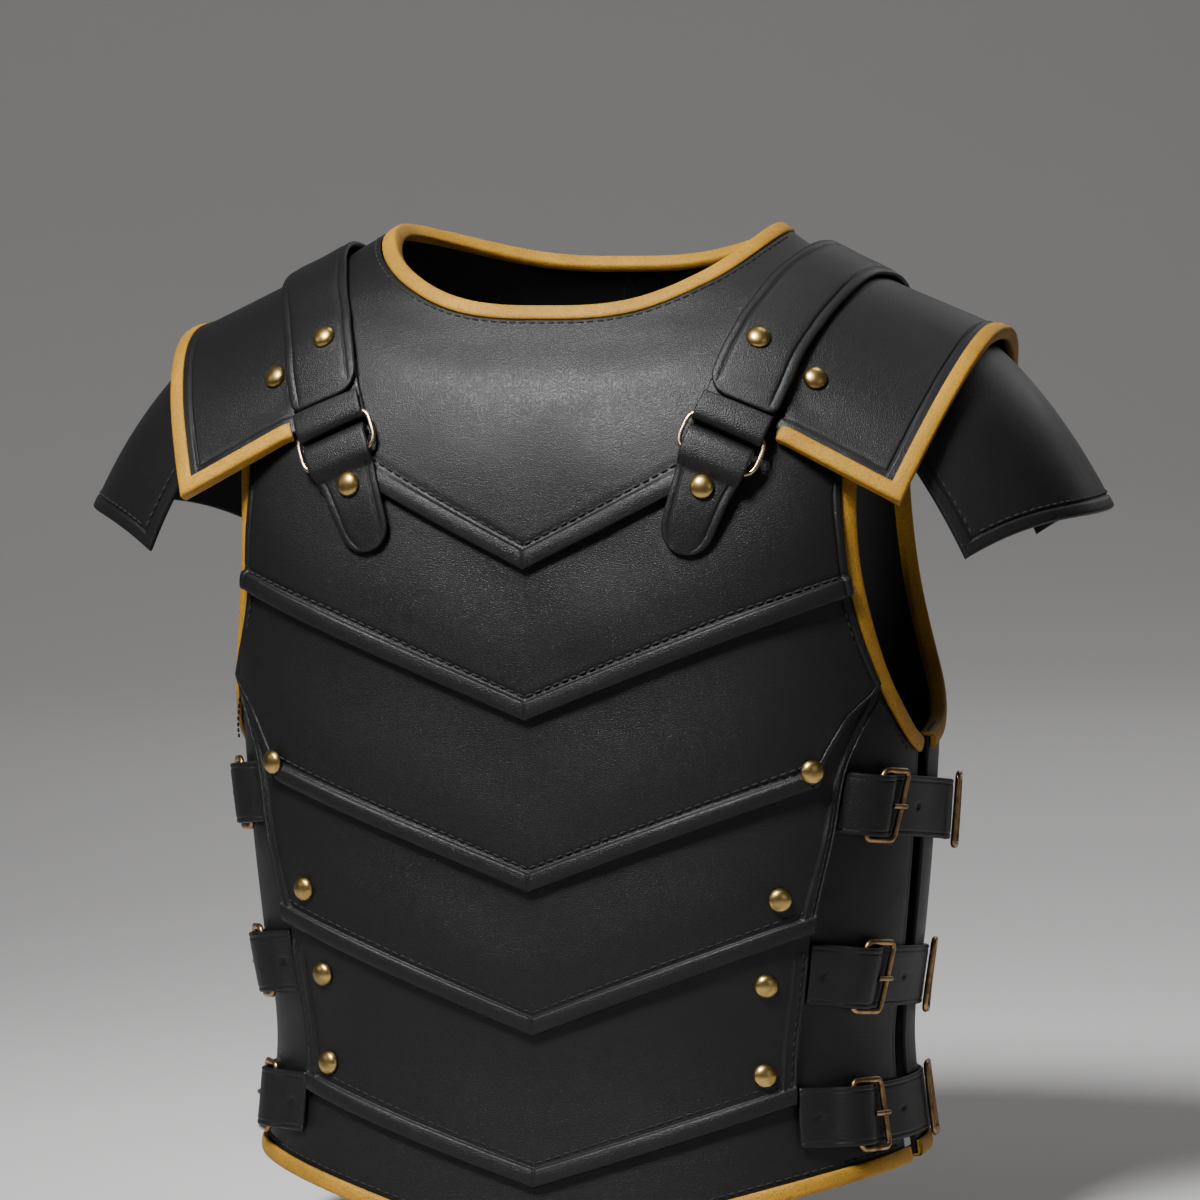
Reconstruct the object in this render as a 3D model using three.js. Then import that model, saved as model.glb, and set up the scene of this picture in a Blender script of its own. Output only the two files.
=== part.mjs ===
// Leather cuirass: hollow front and back plates, five chevron lames, shoulder
// straps with rings and tongues, double shoulder flaps, bound edges and three
// buckled straps on each side. Millimetres, +Z up, the garment's front faces -Y.
// Z = 0 is the height of the shoulders beside the neck, on the wearer's centre.
import * as THREE from 'three';

// ---- driving sizes ---------------------------------------------------------

// Inner surface of the body leather: half width, front and back depth, and how
// square the front and back quarters are, at each height.
const FORM_COLUMNS = ['z', 'half', 'front', 'back', 'frontPower', 'backPower'];
const FORM_ROWS = [
  [-520, 169, 119, 109, 2.6, 2.4],
  [-459, 163, 115, 104, 2.6, 2.4],
  [-399, 157, 112, 100, 2.6, 2.4],
  [-344, 163, 115, 104, 2.65, 2.4],
  [-284, 168, 118, 110, 2.75, 2.4],
  [-224, 171, 120, 114, 2.85, 2.4],
  [-164, 172, 121, 115, 3.0, 2.4],
  [-114, 171, 116, 110, 3.3, 2.4],
  [-74, 169, 104, 101, 3.0, 2.4],
  [-52, 165, 91, 92, 2.75, 2.3],
  [-42, 160, 84, 86, 2.6, 2.3],
  [-32, 148, 77, 80, 2.5, 2.3],
  [-22, 128, 68, 71, 2.4, 2.2],
  [-12, 111, 60, 63, 2.3, 2.2],
  [0, 93, 50, 54, 2.2, 2.2],
  [12, 76, 40, 45, 2.2, 2.2],
];

// Curves drawn on the form, as the angle round the body (0 front, 90 the
// wearer's left, 180 back) and the height.
const CURVE_COLUMNS = ['angle', 'z'];
const ARMHOLE_FRONT = [
  [90, -38.5], [76, -52], [66.5, -78], [61.4, -115], [61.2, -146],
  [63.6, -179], [68.6, -213], [75.5, -237], [81, -247],
];
const ARMHOLE_BACK = [
  [90, -38.5], [103, -52.5], [112, -78.5], [116.5, -112], [117.5, -146],
  [115, -182], [108.5, -214], [98, -238], [87, -247],
];
const STACK_EDGE = [
  [66.6, -222], [62.4, -243], [60.2, -258], [58.7, -286], [57.2, -310],
  [56, -337], [55.6, -369], [55, -399], [54.4, -428],
];
const STRAP_LINE = [
  [134, -100], [129, -78], [121.7, -55.5], [109.7, -35.7], [90, -21.5], [76.8, -26.2], [66.8, -32.2],
  [59.2, -43], [52.3, -56.5], [47.3, -77.5], [42.6, -95], [39, -110], [36.7, -120], [32.4, -156],
];
const STRAP_RIDGE_ROW = 4;

const NECK_FRONT_DROP = 36.5;
const NECK_BACK_DROP = 17;
const NECK_POWER = 3.4;
const FRONT_EDGE_ANGLE = 81;
const BACK_EDGE_ANGLE = 87;
const HEM_APEX = -502;
const HEM_RISE = 44;
const HEM_POWER = 1.25;
const HEM_REACH = 166;
const BACK_HEM = -458;

// Chevrons: height of the point, slope of the arms.
const CHEVRONS = [
  [-160, 0.5], [-232.5, 0.41], [-315.8, 0.39], [-386.5, 0.4], [-461.4, 0.33],
];

const BODY = 3;          // body leather
const LAME = 2.4;        // chevron lames
const GAP = 0.4;         // between leathers that lie on each other
const LAP = 25;          // how far a lame tucks under the one above
const BAND = 10;         // raised lower edge of a lame
const BAND_LIFT = 1.4;
const BORDER = 8;        // raised side edge of the lower lames
const BINDING = 8;       // width of the yellow edge binding
const BINDING_SKIN = 1.6;
const EDGE_INSET = 2;    // leather ends this far inside its binding
const BINDING_GAP = 0.6;
const FLAP = 2.6;
const STRAP_WIDTH = 35;
const STRAP = 3.2;
const LOOP = 2;          // leather that folds round a ring
const TONGUE = 2.6;
const TONGUE_WIDTH = 27.5;
const RING_WIRE = 2.4;
const RING_HALF_WIDTH = 18.8;
const RING_HALF_HEIGHT = 10.5;
const RING_SQUARENESS = 3.6;
const RIVET_RADIUS = 6;
const RIVET_HEIGHT = 3.8;
const SIDE_STRAP_WIDTH = 29.5;
const SIDE_STRAP = 2.2;
const SIDE_STRAP_COLUMNS = ['z', 'slope'];  // at the buckle; the slope rises forward
const SIDE_STRAP_ROWS = [[-277.5, 0.13], [-361.5, 0.12], [-430, 0.05]];
const SIDE_STRAP_REAR_ANGLE = 106;
const CHAPE = 1.5;       // tab that holds a buckle
const CHAPE_WIDTH = 24;
const BUCKLE_WIRE = 3.2;
const BUCKLE_REACH = 18; // between the centres of a buckle's two bars
const BUCKLE_ANGLE = 72;

const LEVEL_1 = BODY + GAP;                // first leather on the body leather
const LEVEL_2 = LEVEL_1 + LAME + GAP;      // second leather
const BIB_LEVELS = [LEVEL_1 + 0.3, LEVEL_2 + 0.2];  // at its top and its lower edge
const BED = BIB_LEVELS[1] + LAME;          // on the bib

// ---- the form --------------------------------------------------------------

const { sin, cos, abs, sign, hypot, max, min, PI } = Math;
const radians = (degrees) => degrees * PI / 180;
const mix = (a, b, t) => a + (b - a) * t;
const smooth = (t) => {
  const k = min(1, max(0, t));
  return k * k * (3 - 2 * k);
};
const spread = (count) => Array.from({ length: count + 1 }, (_, i) => i / count);

// Cubic through the rows of a table, by the value of its first column.
function tableValue(rows, column, at) {
  let i = 0;
  while (i < rows.length - 2 && at > rows[i + 1][0]) i += 1;
  const slope = (k) => {
    const a = rows[max(0, k - 1)];
    const b = rows[min(rows.length - 1, k + 1)];
    return (b[column] - a[column]) / (b[0] - a[0]);
  };
  const step = rows[i + 1][0] - rows[i][0];
  const t = (at - rows[i][0]) / step;
  const rise = rows[i + 1][column] - rows[i][column];
  const start = slope(i) * step;
  const end = slope(i + 1) * step;
  return rows[i][column] + t * start + t * t * (3 * rise - 2 * start - end)
    + t * t * t * (start + end - 2 * rise);
}

// Cubic through a drawn curve at the fraction t of its rows.
function curveAt(rows, t) {
  const numbered = rows.map((row, i) => [i / (rows.length - 1), ...row]);
  return CURVE_COLUMNS.map((_, c) => tableValue(numbered, c + 1, t));
}

function formSize(name, z) {
  return tableValue(FORM_ROWS, FORM_COLUMNS.indexOf(name), z);
}

function sectionPoint(angle, z) {
  const s = sin(radians(angle));
  const c = cos(radians(angle));
  const depth = formSize(c >= 0 ? 'front' : 'back', z);
  const power = formSize(c >= 0 ? 'frontPower' : 'backPower', z);
  const reach = ((abs(s) / formSize('half', z)) ** power
    + (abs(c) / depth) ** power) ** (-1 / power);
  return new THREE.Vector3(reach * s, -reach * c, z);
}

function formNormal(angle, z) {
  const across = sectionPoint(angle + 0.05, z).sub(sectionPoint(angle - 0.05, z));
  const up = sectionPoint(angle, z + 0.4).sub(sectionPoint(angle, z - 0.4));
  return across.cross(up).normalize();
}

function formPoint(angle, z, lift) {
  return sectionPoint(angle, z).addScaledVector(formNormal(angle, z), lift);
}

// Angle and height on the form below a point in space.
function formAddress(point) {
  return [Math.atan2(point.x, -point.y) * 180 / PI, point.z];
}

// A frame that runs along a drawn curve: its point, normal and the direction
// across it, turned towards the given side (+1 or -1).
function curveFrame(path, t, side) {
  const [angle, z] = path(t);
  const before = sectionPoint(...path(max(0, t - 0.004)));
  const after = sectionPoint(...path(min(1, t + 0.004)));
  const normal = formNormal(angle, z);
  const along = after.sub(before).normalize();
  const across = normal.clone().cross(along).normalize().multiplyScalar(side);
  return { point: sectionPoint(angle, z), normal, along, across };
}

function besideCurve(path, t, side, distance) {
  const frame = curveFrame(path, t, side);
  return formAddress(frame.point.addScaledVector(frame.across, distance));
}

// A drawn curve by its length on the form, from the row at the given fraction.
function measuredPath(path, zeroAt, steps = 240) {
  const marks = spread(steps);
  const points = marks.map((t) => sectionPoint(...path(t)));
  const lengths = [0];
  points.slice(1).forEach((p, i) => lengths.push(lengths[i] + p.distanceTo(points[i])));
  const table = lengths.map((length, i) => [length, marks[i]]);
  const zero = tableValue(marks.map((t, i) => [t, lengths[i]]), 1, zeroAt);
  const fraction = (s) => tableValue(table, 1, min(lengths[steps], max(0, s + zero)));
  return fraction;
}

// ---- outlines --------------------------------------------------------------

function neckHeight(angle) {
  const drop = cos(radians(angle)) >= 0 ? NECK_FRONT_DROP : NECK_BACK_DROP;
  return -drop * (1 - abs(sin(radians(angle))) ** NECK_POWER);
}

function hemHeight(angle) {
  const x = min(HEM_REACH, abs(sectionPoint(angle, -470).x));
  return HEM_APEX + HEM_RISE * (1 - (1 - x / HEM_REACH) ** HEM_POWER);
}

function chevronHeight(index, angle) {
  const [apex, slope] = CHEVRONS[index];
  return apex + slope * abs(sectionPoint(angle, apex + 30).x);
}

const neckPath = (t) => [t * 360, neckHeight(t * 360)];
const armholeFrontPath = (t) => curveAt(ARMHOLE_FRONT, t);
const armholeBackPath = (t) => curveAt(ARMHOLE_BACK, t);
const strapPath = (t) => curveAt(STRAP_LINE, t);
// Beside an armhole, from its own edge; its first row lies on the ridge.
function besideArmhole(path, t, side, distance) {
  if (t > 0) return besideCurve(path, t, side, distance);
  const [angle, z] = path(0);
  return [angle, z + distance * formNormal(angle, z).x];
}

const frontHemPath = (t) => {
  const angle = mix(-FRONT_EDGE_ANGLE, FRONT_EDGE_ANGLE, t);
  return [angle, hemHeight(angle)];
};
const backHemPath = (t) => [mix(BACK_EDGE_ANGLE, 360 - BACK_EDGE_ANGLE, t), BACK_HEM];

// ---- closed walls ----------------------------------------------------------

class Wall {
  constructor() {
    this.triangles = [];
  }

  quad(a, b, c, d) {
    if (a.distanceTo(c) <= b.distanceTo(d)) this.triangles.push([a, b, c], [a, c, d]);
    else this.triangles.push([a, b, d], [b, c, d]);
  }

  mirrored() {
    const flip = (p) => new THREE.Vector3(-p.x, p.y, p.z);
    const copy = new Wall();
    copy.triangles = this.triangles.map(([a, b, c]) => [flip(a), flip(c), flip(b)]);
    return copy;
  }

  joined(other) {
    const both = new Wall();
    both.triangles = [...this.triangles, ...other.triangles];
    return both;
  }

  // Shared vertices, no collapsed triangles, faces outward.
  geometry() {
    const points = [];
    const numbers = new Map();
    const indexOf = (p) => {
      const key = [p.x, p.y, p.z].map((v) => Math.round(v * 500)).join();
      if (!numbers.has(key)) {
        numbers.set(key, points.length / 3);
        points.push(p.x, p.y, p.z);
      }
      return numbers.get(key);
    };
    let volume = 0;
    const faces = [];
    for (const [a, b, c] of this.triangles) {
      const face = [indexOf(a), indexOf(b), indexOf(c)];
      if (new Set(face).size === 3) {
        faces.push(face);
        volume += a.dot(b.clone().cross(c));
      }
    }
    if (volume < 0) faces.forEach((face) => face.reverse());
    const shape = new THREE.BufferGeometry();
    shape.setAttribute('position', new THREE.Float32BufferAttribute(points, 3));
    shape.setIndex(faces.flat());
    shape.computeVertexNormals();
    return shape;
  }
}

// Leather between two grids of points laid out alike. openStart says at which
// rows the first column is a real edge; elsewhere it meets its mirror image.
function leatherWall(outer, inner, openStart = () => true) {
  const wall = new Wall();
  const rows = outer.length - 1;
  const columns = outer[0].length - 1;
  for (let r = 0; r < rows; r += 1) {
    for (let c = 0; c < columns; c += 1) {
      wall.quad(outer[r][c], outer[r][c + 1], outer[r + 1][c + 1], outer[r + 1][c]);
      wall.quad(inner[r][c], inner[r + 1][c], inner[r + 1][c + 1], inner[r][c + 1]);
    }
    if (openStart(r)) wall.quad(outer[r][0], outer[r + 1][0], inner[r + 1][0], inner[r][0]);
    wall.quad(outer[r][columns], inner[r][columns], inner[r + 1][columns], outer[r + 1][columns]);
  }
  for (let c = 0; c < columns; c += 1) {
    wall.quad(outer[0][c], inner[0][c], inner[0][c + 1], outer[0][c + 1]);
    wall.quad(outer[rows][c], outer[rows][c + 1], inner[rows][c + 1], inner[rows][c]);
  }
  return wall;
}

// A closed outline carried along a row of stations; a loop has no end caps.
function sweptWall(stations, loop = false) {
  const wall = new Wall();
  const count = stations.length;
  const sides = stations[0].length;
  for (let i = 0; i < count - (loop ? 0 : 1); i += 1) {
    const here = stations[i];
    const next = stations[(i + 1) % count];
    for (let k = 0; k < sides; k += 1) {
      const n = (k + 1) % sides;
      wall.quad(here[k], here[n], next[n], next[k]);
    }
  }
  if (!loop) {
    capFaces(stations[0]).forEach(([a, b, c]) => wall.triangles.push([a, c, b]));
    wall.triangles.push(...capFaces(stations[count - 1]));
  }
  return wall;
}

// Triangles that fill an outline, in the outline's own turning direction.
function capFaces(outline) {
  const normal = new THREE.Vector3();
  outline.forEach((p, i) => normal.add(p.clone().cross(outline[(i + 1) % outline.length])));
  normal.normalize();
  const u = outline[1].clone().sub(outline[0]).normalize();
  const v = normal.clone().cross(u);
  const flat = outline.map((p) => new THREE.Vector2(p.dot(u), p.dot(v)));
  return THREE.ShapeUtils.triangulateShape(flat, []).map((face) => face.map((i) => outline[i]));
}

// ---- materials and the group -----------------------------------------------

const leather = new THREE.MeshStandardMaterial({ color: 0x1b1b1c, roughness: 0.5, metalness: 0 });
const gold = new THREE.MeshStandardMaterial({ color: 0xb98a2a, roughness: 0.6, metalness: 0 });
const brass = new THREE.MeshStandardMaterial({ color: 0x9a8145, roughness: 0.35, metalness: 0.9 });

const cuirass = new THREE.Group();
cuirass.name = 'leather_cuirass';

function add(name, wall, material) {
  const mesh = new THREE.Mesh(wall.geometry(), material);
  mesh.name = name;
  cuirass.add(mesh);
}

// The same piece on both sides: +X is the wearer's left.
function addPair(name, wall, material) {
  add(`${name}_left`, wall, material);
  add(`${name}_right`, wall.mirrored(), material);
}

// ---- front and back plates -------------------------------------------------

// Half a plate as addresses on the form. Each row runs from the centre line, or
// the neckline above it, to the side edge, or the armhole above that; the last
// strip is as wide as the armhole's binding.
function plateRows(plan) {
  const { neck, armhole, hem, centre, edge, lowRows, shares } = plan;
  const inside = edge + sign(centre - edge) * EDGE_STRIP_ANGLE;
  const corner = armhole(1, EDGE_INSET);
  const rise = (u) => smooth(u) * 0.6 + u * 0.4;
  const rows = spread(lowRows).slice(0, -1).map((t) => (
    [...shares.map((u) => mix(centre, inside, u)), edge].map((angle, i) => {
      const high = mix(neck(0)[1], corner[1] - EDGE_STRIP, rise(min(1, shares[i] ?? 1)));
      return [angle, mix(hem(angle), high, t)];
    })));
  for (const t of spread(EDGE_STEPS)) {
    const from = neck(t);
    const strip = t === 0
      ? [inside, corner[1] - EDGE_STRIP]
      : armhole(1 - t, EDGE_INSET + EDGE_STRIP);
    const row = shares.map((u) => {
      const bend = rise(u) * (1 - t) + u * t;
      return [mix(from[0], strip[0], u), mix(from[1], strip[1], bend)];
    });
    rows.push([...row, armhole(1 - t, EDGE_INSET)]);
  }
  return rows;
}

function plate(plan) {
  const rows = plateRows(plan);
  const lifted = (lift) => rows.map((row) => row.map(([a, z]) => formPoint(a, z, lift)));
  const half = leatherWall(lifted(BODY), lifted(0), (r) => r >= plan.lowRows);
  return half.joined(half.mirrored());
}

// The ridge seam: plates stop just short of the angle 90.
const SEAM_ANGLE = 0.1;
const EDGE_STEPS = 11;   // along an armhole's half or a quarter of the neckline
const EDGE_STRIP = 9.4;
const EDGE_STRIP_ANGLE = 3;

// Angles where the front leathers' columns stand, closer at the corners.
const FRONT_ANGLES = [0, 9, 18, 26, 33, 39, 45, 52, 61];
const BACK_ANGLES = [0, 12, 24, 35, 45, 54, 63, 74];

const frontPlan = {
  centre: 0,
  edge: FRONT_EDGE_ANGLE,
  lowRows: 12,
  shares: [...FRONT_ANGLES, 78].map((angle) => angle / 78),
  neck: (t) => {
    const [a, z] = besideCurve(neckPath, t * 0.25, -1, EDGE_INSET);
    return [t === 0 ? 0 : min(a, 90 - SEAM_ANGLE), z];
  },
  armhole: (t, inset) => {
    const [a, z] = besideArmhole(armholeFrontPath, t, -1, inset);
    return [t === 1 ? FRONT_EDGE_ANGLE : min(a, 90 - SEAM_ANGLE), z];
  },
  hem: (angle) => hemHeight(angle) + EDGE_INSET,
};

const backPlan = {
  centre: 180,
  edge: BACK_EDGE_ANGLE,
  lowRows: 8,
  shares: [...BACK_ANGLES, 90].map((angle) => angle / 90),
  neck: (t) => {
    const [a, z] = besideCurve(neckPath, 0.5 - t * 0.25, -1, EDGE_INSET);
    return [t === 0 ? 180 : max(a, 90 + SEAM_ANGLE), z];
  },
  armhole: (t, inset) => {
    const [a, z] = besideArmhole(armholeBackPath, t, 1, inset);
    return [t === 1 ? BACK_EDGE_ANGLE : max(a, 90 + SEAM_ANGLE), z];
  },
  hem: () => BACK_HEM + EDGE_INSET,
};

add('front_panel', plate(frontPlan), leather);
add('back_panel', plate(backPlan), leather);

// ---- chevron lames ---------------------------------------------------------

const LAME_INSET = BINDING + 0.8;

// Angle of the armhole's inner side at a height, for the lames that reach it.
function armholeInnerAngle(z) {
  let best = [0, Infinity];
  for (const t of spread(60)) {
    const [a, h] = besideCurve(armholeFrontPath, t, -1, LAME_INSET);
    if (abs(h - z) < best[1] && h < -60) best = [a, abs(h - z)];
  }
  return best[0];
}

const innerTable = spread(16).map((t) => {
  const z = mix(-240, -64, t);
  return [z, armholeInnerAngle(z)];
});
const armholeAngle = (z) => tableValue(innerTable, 1, max(-240, z));

const stackTable = [...STACK_EDGE].reverse().map(([angle, z]) => [z, angle]);
const stackAngle = (z) => tableValue(stackTable, 1, min(-222, max(-428, z)));

// A lame's columns: the plate's own angles towards the middle, then shares of
// the way to the side edge; a border adds its own two columns.
function lameAngles(side, border) {
  const fixed = FRONT_ANGLES.filter((angle) => angle < 50);
  const last = fixed[fixed.length - 1];
  const tail = border
    ? [mix(last, side - border, 0.5), side - border - 0.5, side - border, side]
    : [mix(last, side, 0.35), mix(last, side, 0.7), side];
  const half = [...fixed, ...tail];
  return [...half.slice(1).map((angle) => -angle).reverse(), ...half];
}

// A lame between its top and lower chevron, bridging two levels.
function lameWall(plan) {
  const { top, low, sideAngle, topLift, lowLift, topRise = 0, border = 0, borderStart = 0 } = plan;
  const outer = [];
  const inner = [];
  const height = top(0) - low(0);
  const plain = 1 - (BAND + 1.2) / height;
  const marks = [...spread(5).map((t) => t * plain), 1 - BAND / height, 1 - 1 / height, 1];
  const count = lameAngles(sideAngle(low(0)), border).length;
  for (const v of marks) {
    const outerRow = [];
    const innerRow = [];
    for (let c = 0; c < count; c += 1) {
      let angle = 0;
      for (let pass = 0; pass < 6; pass += 1) {
        angle = lameAngles(sideAngle(mix(top(angle), low(angle), v)), border)[c];
      }
      const z = mix(top(angle), low(angle), v);
      const settle = smooth((v - LAP / height) / (1 - 2 * LAP / height));
      const outboard = smooth((abs(angle) - 48) / 8) * (1 - settle);
      const lift = mix(topLift, lowLift, settle) + topRise * outboard;
      const inBand = v > 1 - (BAND + 0.6) / height;
      const inBorder = border && (c < 2 || c > count - 3) && v >= borderStart;
      const edge = v === 1 || (border && (c === 0 || c === count - 1)) ? 0.5 : 1;
      const raise = inBand || inBorder ? BAND_LIFT * edge : 0;
      outerRow.push(formPoint(angle, z, lift + LAME + raise));
      innerRow.push(formPoint(angle, z, lift));
    }
    outer.push(outerRow);
    inner.push(innerRow);
  }
  return leatherWall(outer, inner);
}

const LAME_TOP = -86;    // the second lame ends under the flaps
const BESIDE_BORDER = 4.4;  // degrees that the third lame stays inside the border
const BORDER_ANGLE = 2.6;

// The bib lies on the second lame: its top follows the neckline and the ridge,
// its sides run under the shoulder straps.
const BIB_NECK_SHARE = 0.8;
const BIB_TOP_ANGLE = 88.5;
const bibSide = (v) => besideCurve(strapPath, mix(0.315, 0.9, v), -1, -1);
const bibLowHeight = (angle) => [angle, chevronHeight(0, angle)];

function bibTop(share) {
  const neckShare = min(1, share / BIB_NECK_SHARE);
  const address = besideCurve(neckPath, neckShare * BIB_TOP_ANGLE / 360, -1, LAME_INSET);
  const along = max(0, (share - BIB_NECK_SHARE) / (1 - BIB_NECK_SHARE));
  return address.map((value, k) => mix(value, bibSide(0)[k], along));
}

function bibAddress(share, v) {
  const low = bibLowHeight(share * bibSide(1)[0]);
  const lowCorner = bibLowHeight(bibSide(1)[0]);
  return bibTop(share).map((value, k) => {
    const sideShift = bibSide(v)[k] - mix(bibSide(0)[k], lowCorner[k], v);
    return mix(value, low[k], v) + share ** 3 * sideShift * (1 - v ** 8);
  });
}

function bibWall() {
  const marks = [0, 0.09, 0.2, 0.33, 0.47, 0.62, 0.77, 0.905, 0.925, 0.99, 1];
  const shares = spread(9).map((t) => t ** 0.85);
  const columns = [...shares.slice(1).map((u) => -u).reverse(), ...shares];
  const grid = (inside) => marks.map((v) => columns.map((u) => {
    const [angle, z] = bibAddress(abs(u), v);
    const lift = mix(...BIB_LEVELS, smooth((v - 0.02) / 0.34));
    const raise = v > 0.91 ? BAND_LIFT * (v === 1 ? 0.5 : 1) : 0;
    return formPoint(sign(u) * angle, z, lift + (inside ? 0 : LAME + raise));
  }));
  return leatherWall(grid(false), grid(true));
}

add('lame_1_bib', bibWall(), leather);
const lamePlans = [
  { sideAngle: armholeAngle, topLift: LEVEL_1, lowLift: LEVEL_2, topRise: 0.26 },
  {
    sideAngle: (z) => min(armholeAngle(z), stackAngle(z) - BESIDE_BORDER * smooth((-190 - z) / 32)),
    topLift: LEVEL_1,
    lowLift: LEVEL_2,
  },
  { sideAngle: stackAngle, topLift: LEVEL_1, lowLift: LEVEL_2, border: BORDER_ANGLE },
  {
    sideAngle: stackAngle,
    topLift: LEVEL_1 + 0.15,
    lowLift: LEVEL_1,
    border: BORDER_ANGLE,
    borderStart: 0.4,
  },
];
lamePlans.forEach((plan, i) => {
  const wall = lameWall({
    ...plan,
    top: (angle) => min(LAME_TOP, chevronHeight(i, angle) + LAP),
    low: (angle) => chevronHeight(i + 1, angle),
  });
  add(`lame_${i + 2}`, wall, leather);
});

// ---- bound edges -----------------------------------------------------------

const INNER_LEG = 5;

// Leather folded over an edge: outer leg, turn and shorter inner leg, as pairs
// of the distance in from the edge and the lift.
function bindingSection(low, high, outerLeg) {
  const turn = EDGE_INSET - BINDING_GAP;
  const under = low - BINDING_GAP;
  const over = high + BINDING_GAP;
  return [
    [0, under - BINDING_SKIN], [0, high + outerLeg], [BINDING, high + outerLeg],
    [BINDING, over], [turn, over], [turn, under], [INNER_LEG, under],
    [INNER_LEG, under - BINDING_SKIN],
  ];
}

function boundEdge(path, side, marks, section, beside = besideCurve) {
  return marks.map((t) => section.map(([inset, lift]) => (
    formPoint(...beside(path, t, side, inset), lift))));
}

const PLATE_BINDING = bindingSection(0, BODY, 3);
const neckMarks = spread(4 * EDGE_STEPS).slice(0, -1);
add('neck_binding', sweptWall(boundEdge(neckPath, -1, neckMarks, PLATE_BINDING), true), gold);
// Both halves of a hem, at the shares of the half where the plate's columns are.
const bothHalves = (shares) => [
  ...shares.map((u) => 0.5 - u / 2).reverse(), ...shares.slice(1).map((u) => 0.5 + u / 2)];
const frontHemMarks = bothHalves([...FRONT_ANGLES, 78, 81].map((a) => a / FRONT_EDGE_ANGLE));
const backHemMarks = bothHalves([...BACK_ANGLES, 90, 93].map((a) => a / (180 - BACK_EDGE_ANGLE)));
add('hem_binding_front', sweptWall(boundEdge(frontHemPath, 1, frontHemMarks, PLATE_BINDING)), gold);
add('hem_binding_back', sweptWall(boundEdge(backHemPath, 1, backHemMarks, PLATE_BINDING)), gold);
const armholeMarks = spread(EDGE_STEPS);
const boundArmhole = (path, side, marks) => (
  boundEdge(path, side, marks, PLATE_BINDING, besideArmhole));
const armholeStations = [
  ...boundArmhole(armholeFrontPath, -1, armholeMarks).reverse(),
  ...boundArmhole(armholeBackPath, 1, armholeMarks.slice(1)),
];
addPair('armhole_binding', sweptWall(armholeStations), gold);

// ---- shoulder flaps --------------------------------------------------------

// Distance along the shoulder strap's line from the shoulder's ridge.
const strapMeasure = measuredPath(strapPath, STRAP_RIDGE_ROW / (STRAP_LINE.length - 1));
const onStrapLine = (s, w, lift) => (
  formPoint(...besideCurve(strapPath, strapMeasure(s), -1, w), lift));

const FLAP_LIFT = LEVEL_2 + FLAP / 2;
const FLAP_FRONT = 140;  // length of the flap's root before and behind the ridge
const FLAP_BACK = -122;
const FLAP_ROOT = -9;    // beside the strap's line: the root, and where it leaves the form
const FLAP_BEND = -21.5;
const FLAP_END_LIFT = 3.4;  // more room under the bound ends
const FLAP_FRONT_ASIDE = -11;  // the front end keeps clear of the ring's loop
const FLAP_BEND_V = 0.14;
const FLAP_CENTRE_Y = 10;
const UPPER_EDGE = { x: 208, z: -51, halfLength: 115, narrowing: 28, drop: 77 };
const LOWER_EDGE = { x: 258, z: -138, halfLength: 88.5, narrowing: 52, drop: 18 };

// Middle of the upper flap's leather: u from its front (-1) to its back (1),
// v from under the strap (0) to the outer edge (1).
function upperFlapMiddle(u, v) {
  const t = abs(u);
  const s = t * (u < 0 ? FLAP_FRONT : FLAP_BACK);
  const out = min(1, v / FLAP_BEND_V);
  const aside = u < 0 ? FLAP_FRONT_ASIDE * smooth((t - 0.72) / 0.2) : 0;
  const lift = FLAP_LIFT + FLAP_END_LIFT * out * smooth((t - 0.84) / 0.16);
  const beside = mix(FLAP_ROOT + aside, FLAP_BEND + aside / 2, out);
  const root = onStrapLine(s, beside, lift);
  const edge = new THREE.Vector3(
    UPPER_EDGE.x - UPPER_EDGE.narrowing * t ** 2.4,
    FLAP_CENTRE_Y + UPPER_EDGE.halfLength * u,
    UPPER_EDGE.z - UPPER_EDGE.drop * t ** 2.3,
  );
  return root.lerp(edge, max(0, (v - FLAP_BEND_V) / (1 - FLAP_BEND_V)));
}

const LOWER_ROOT_V = 0.66;
const LOWER_ROOT_U = 0.8;
const LOWER_BULGE = 7;

function lowerFlapMiddle(u, v) {
  const t = abs(u);
  const root = offsetPoint(upperFlapMiddle, u * LOWER_ROOT_U, LOWER_ROOT_V, -FLAP - 2 * GAP);
  const edge = new THREE.Vector3(
    LOWER_EDGE.x - LOWER_EDGE.narrowing * t ** 2.65,
    FLAP_CENTRE_Y + LOWER_EDGE.halfLength * u,
    LOWER_EDGE.z - LOWER_EDGE.drop * t ** 5,
  );
  const outward = new THREE.Vector3(0.73, 0.4 * u, 0.68).normalize();
  return root.lerp(edge, v).addScaledVector(outward, LOWER_BULGE * 4 * v * (1 - v) * (1 - 0.6 * t * t));
}

// A point at a distance from a surface, along its normal.
function offsetPoint(surface, u, v, distance) {
  const step = 0.004;
  const alongU = surface(min(1, u + step), v).sub(surface(max(-1, u - step), v));
  const alongV = surface(u, min(1, v + step)).sub(surface(u, max(0, v - step)));
  const normal = alongV.cross(alongU).normalize();
  if (normal.z < 0) normal.negate();
  return surface(u, v).addScaledVector(normal, distance);
}

function surfaceStep(surface, u, v, du, dv) {
  return surface(u, v).distanceTo(surface(u + du, v + dv)) / hypot(du, dv);
}

function flapWall(surface, addresses) {
  const lifted = (lift) => addresses.map((row) => row.map(([u, v]) => offsetPoint(surface, u, v, lift)));
  return leatherWall(lifted(FLAP / 2), lifted(-FLAP / 2));
}

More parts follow.
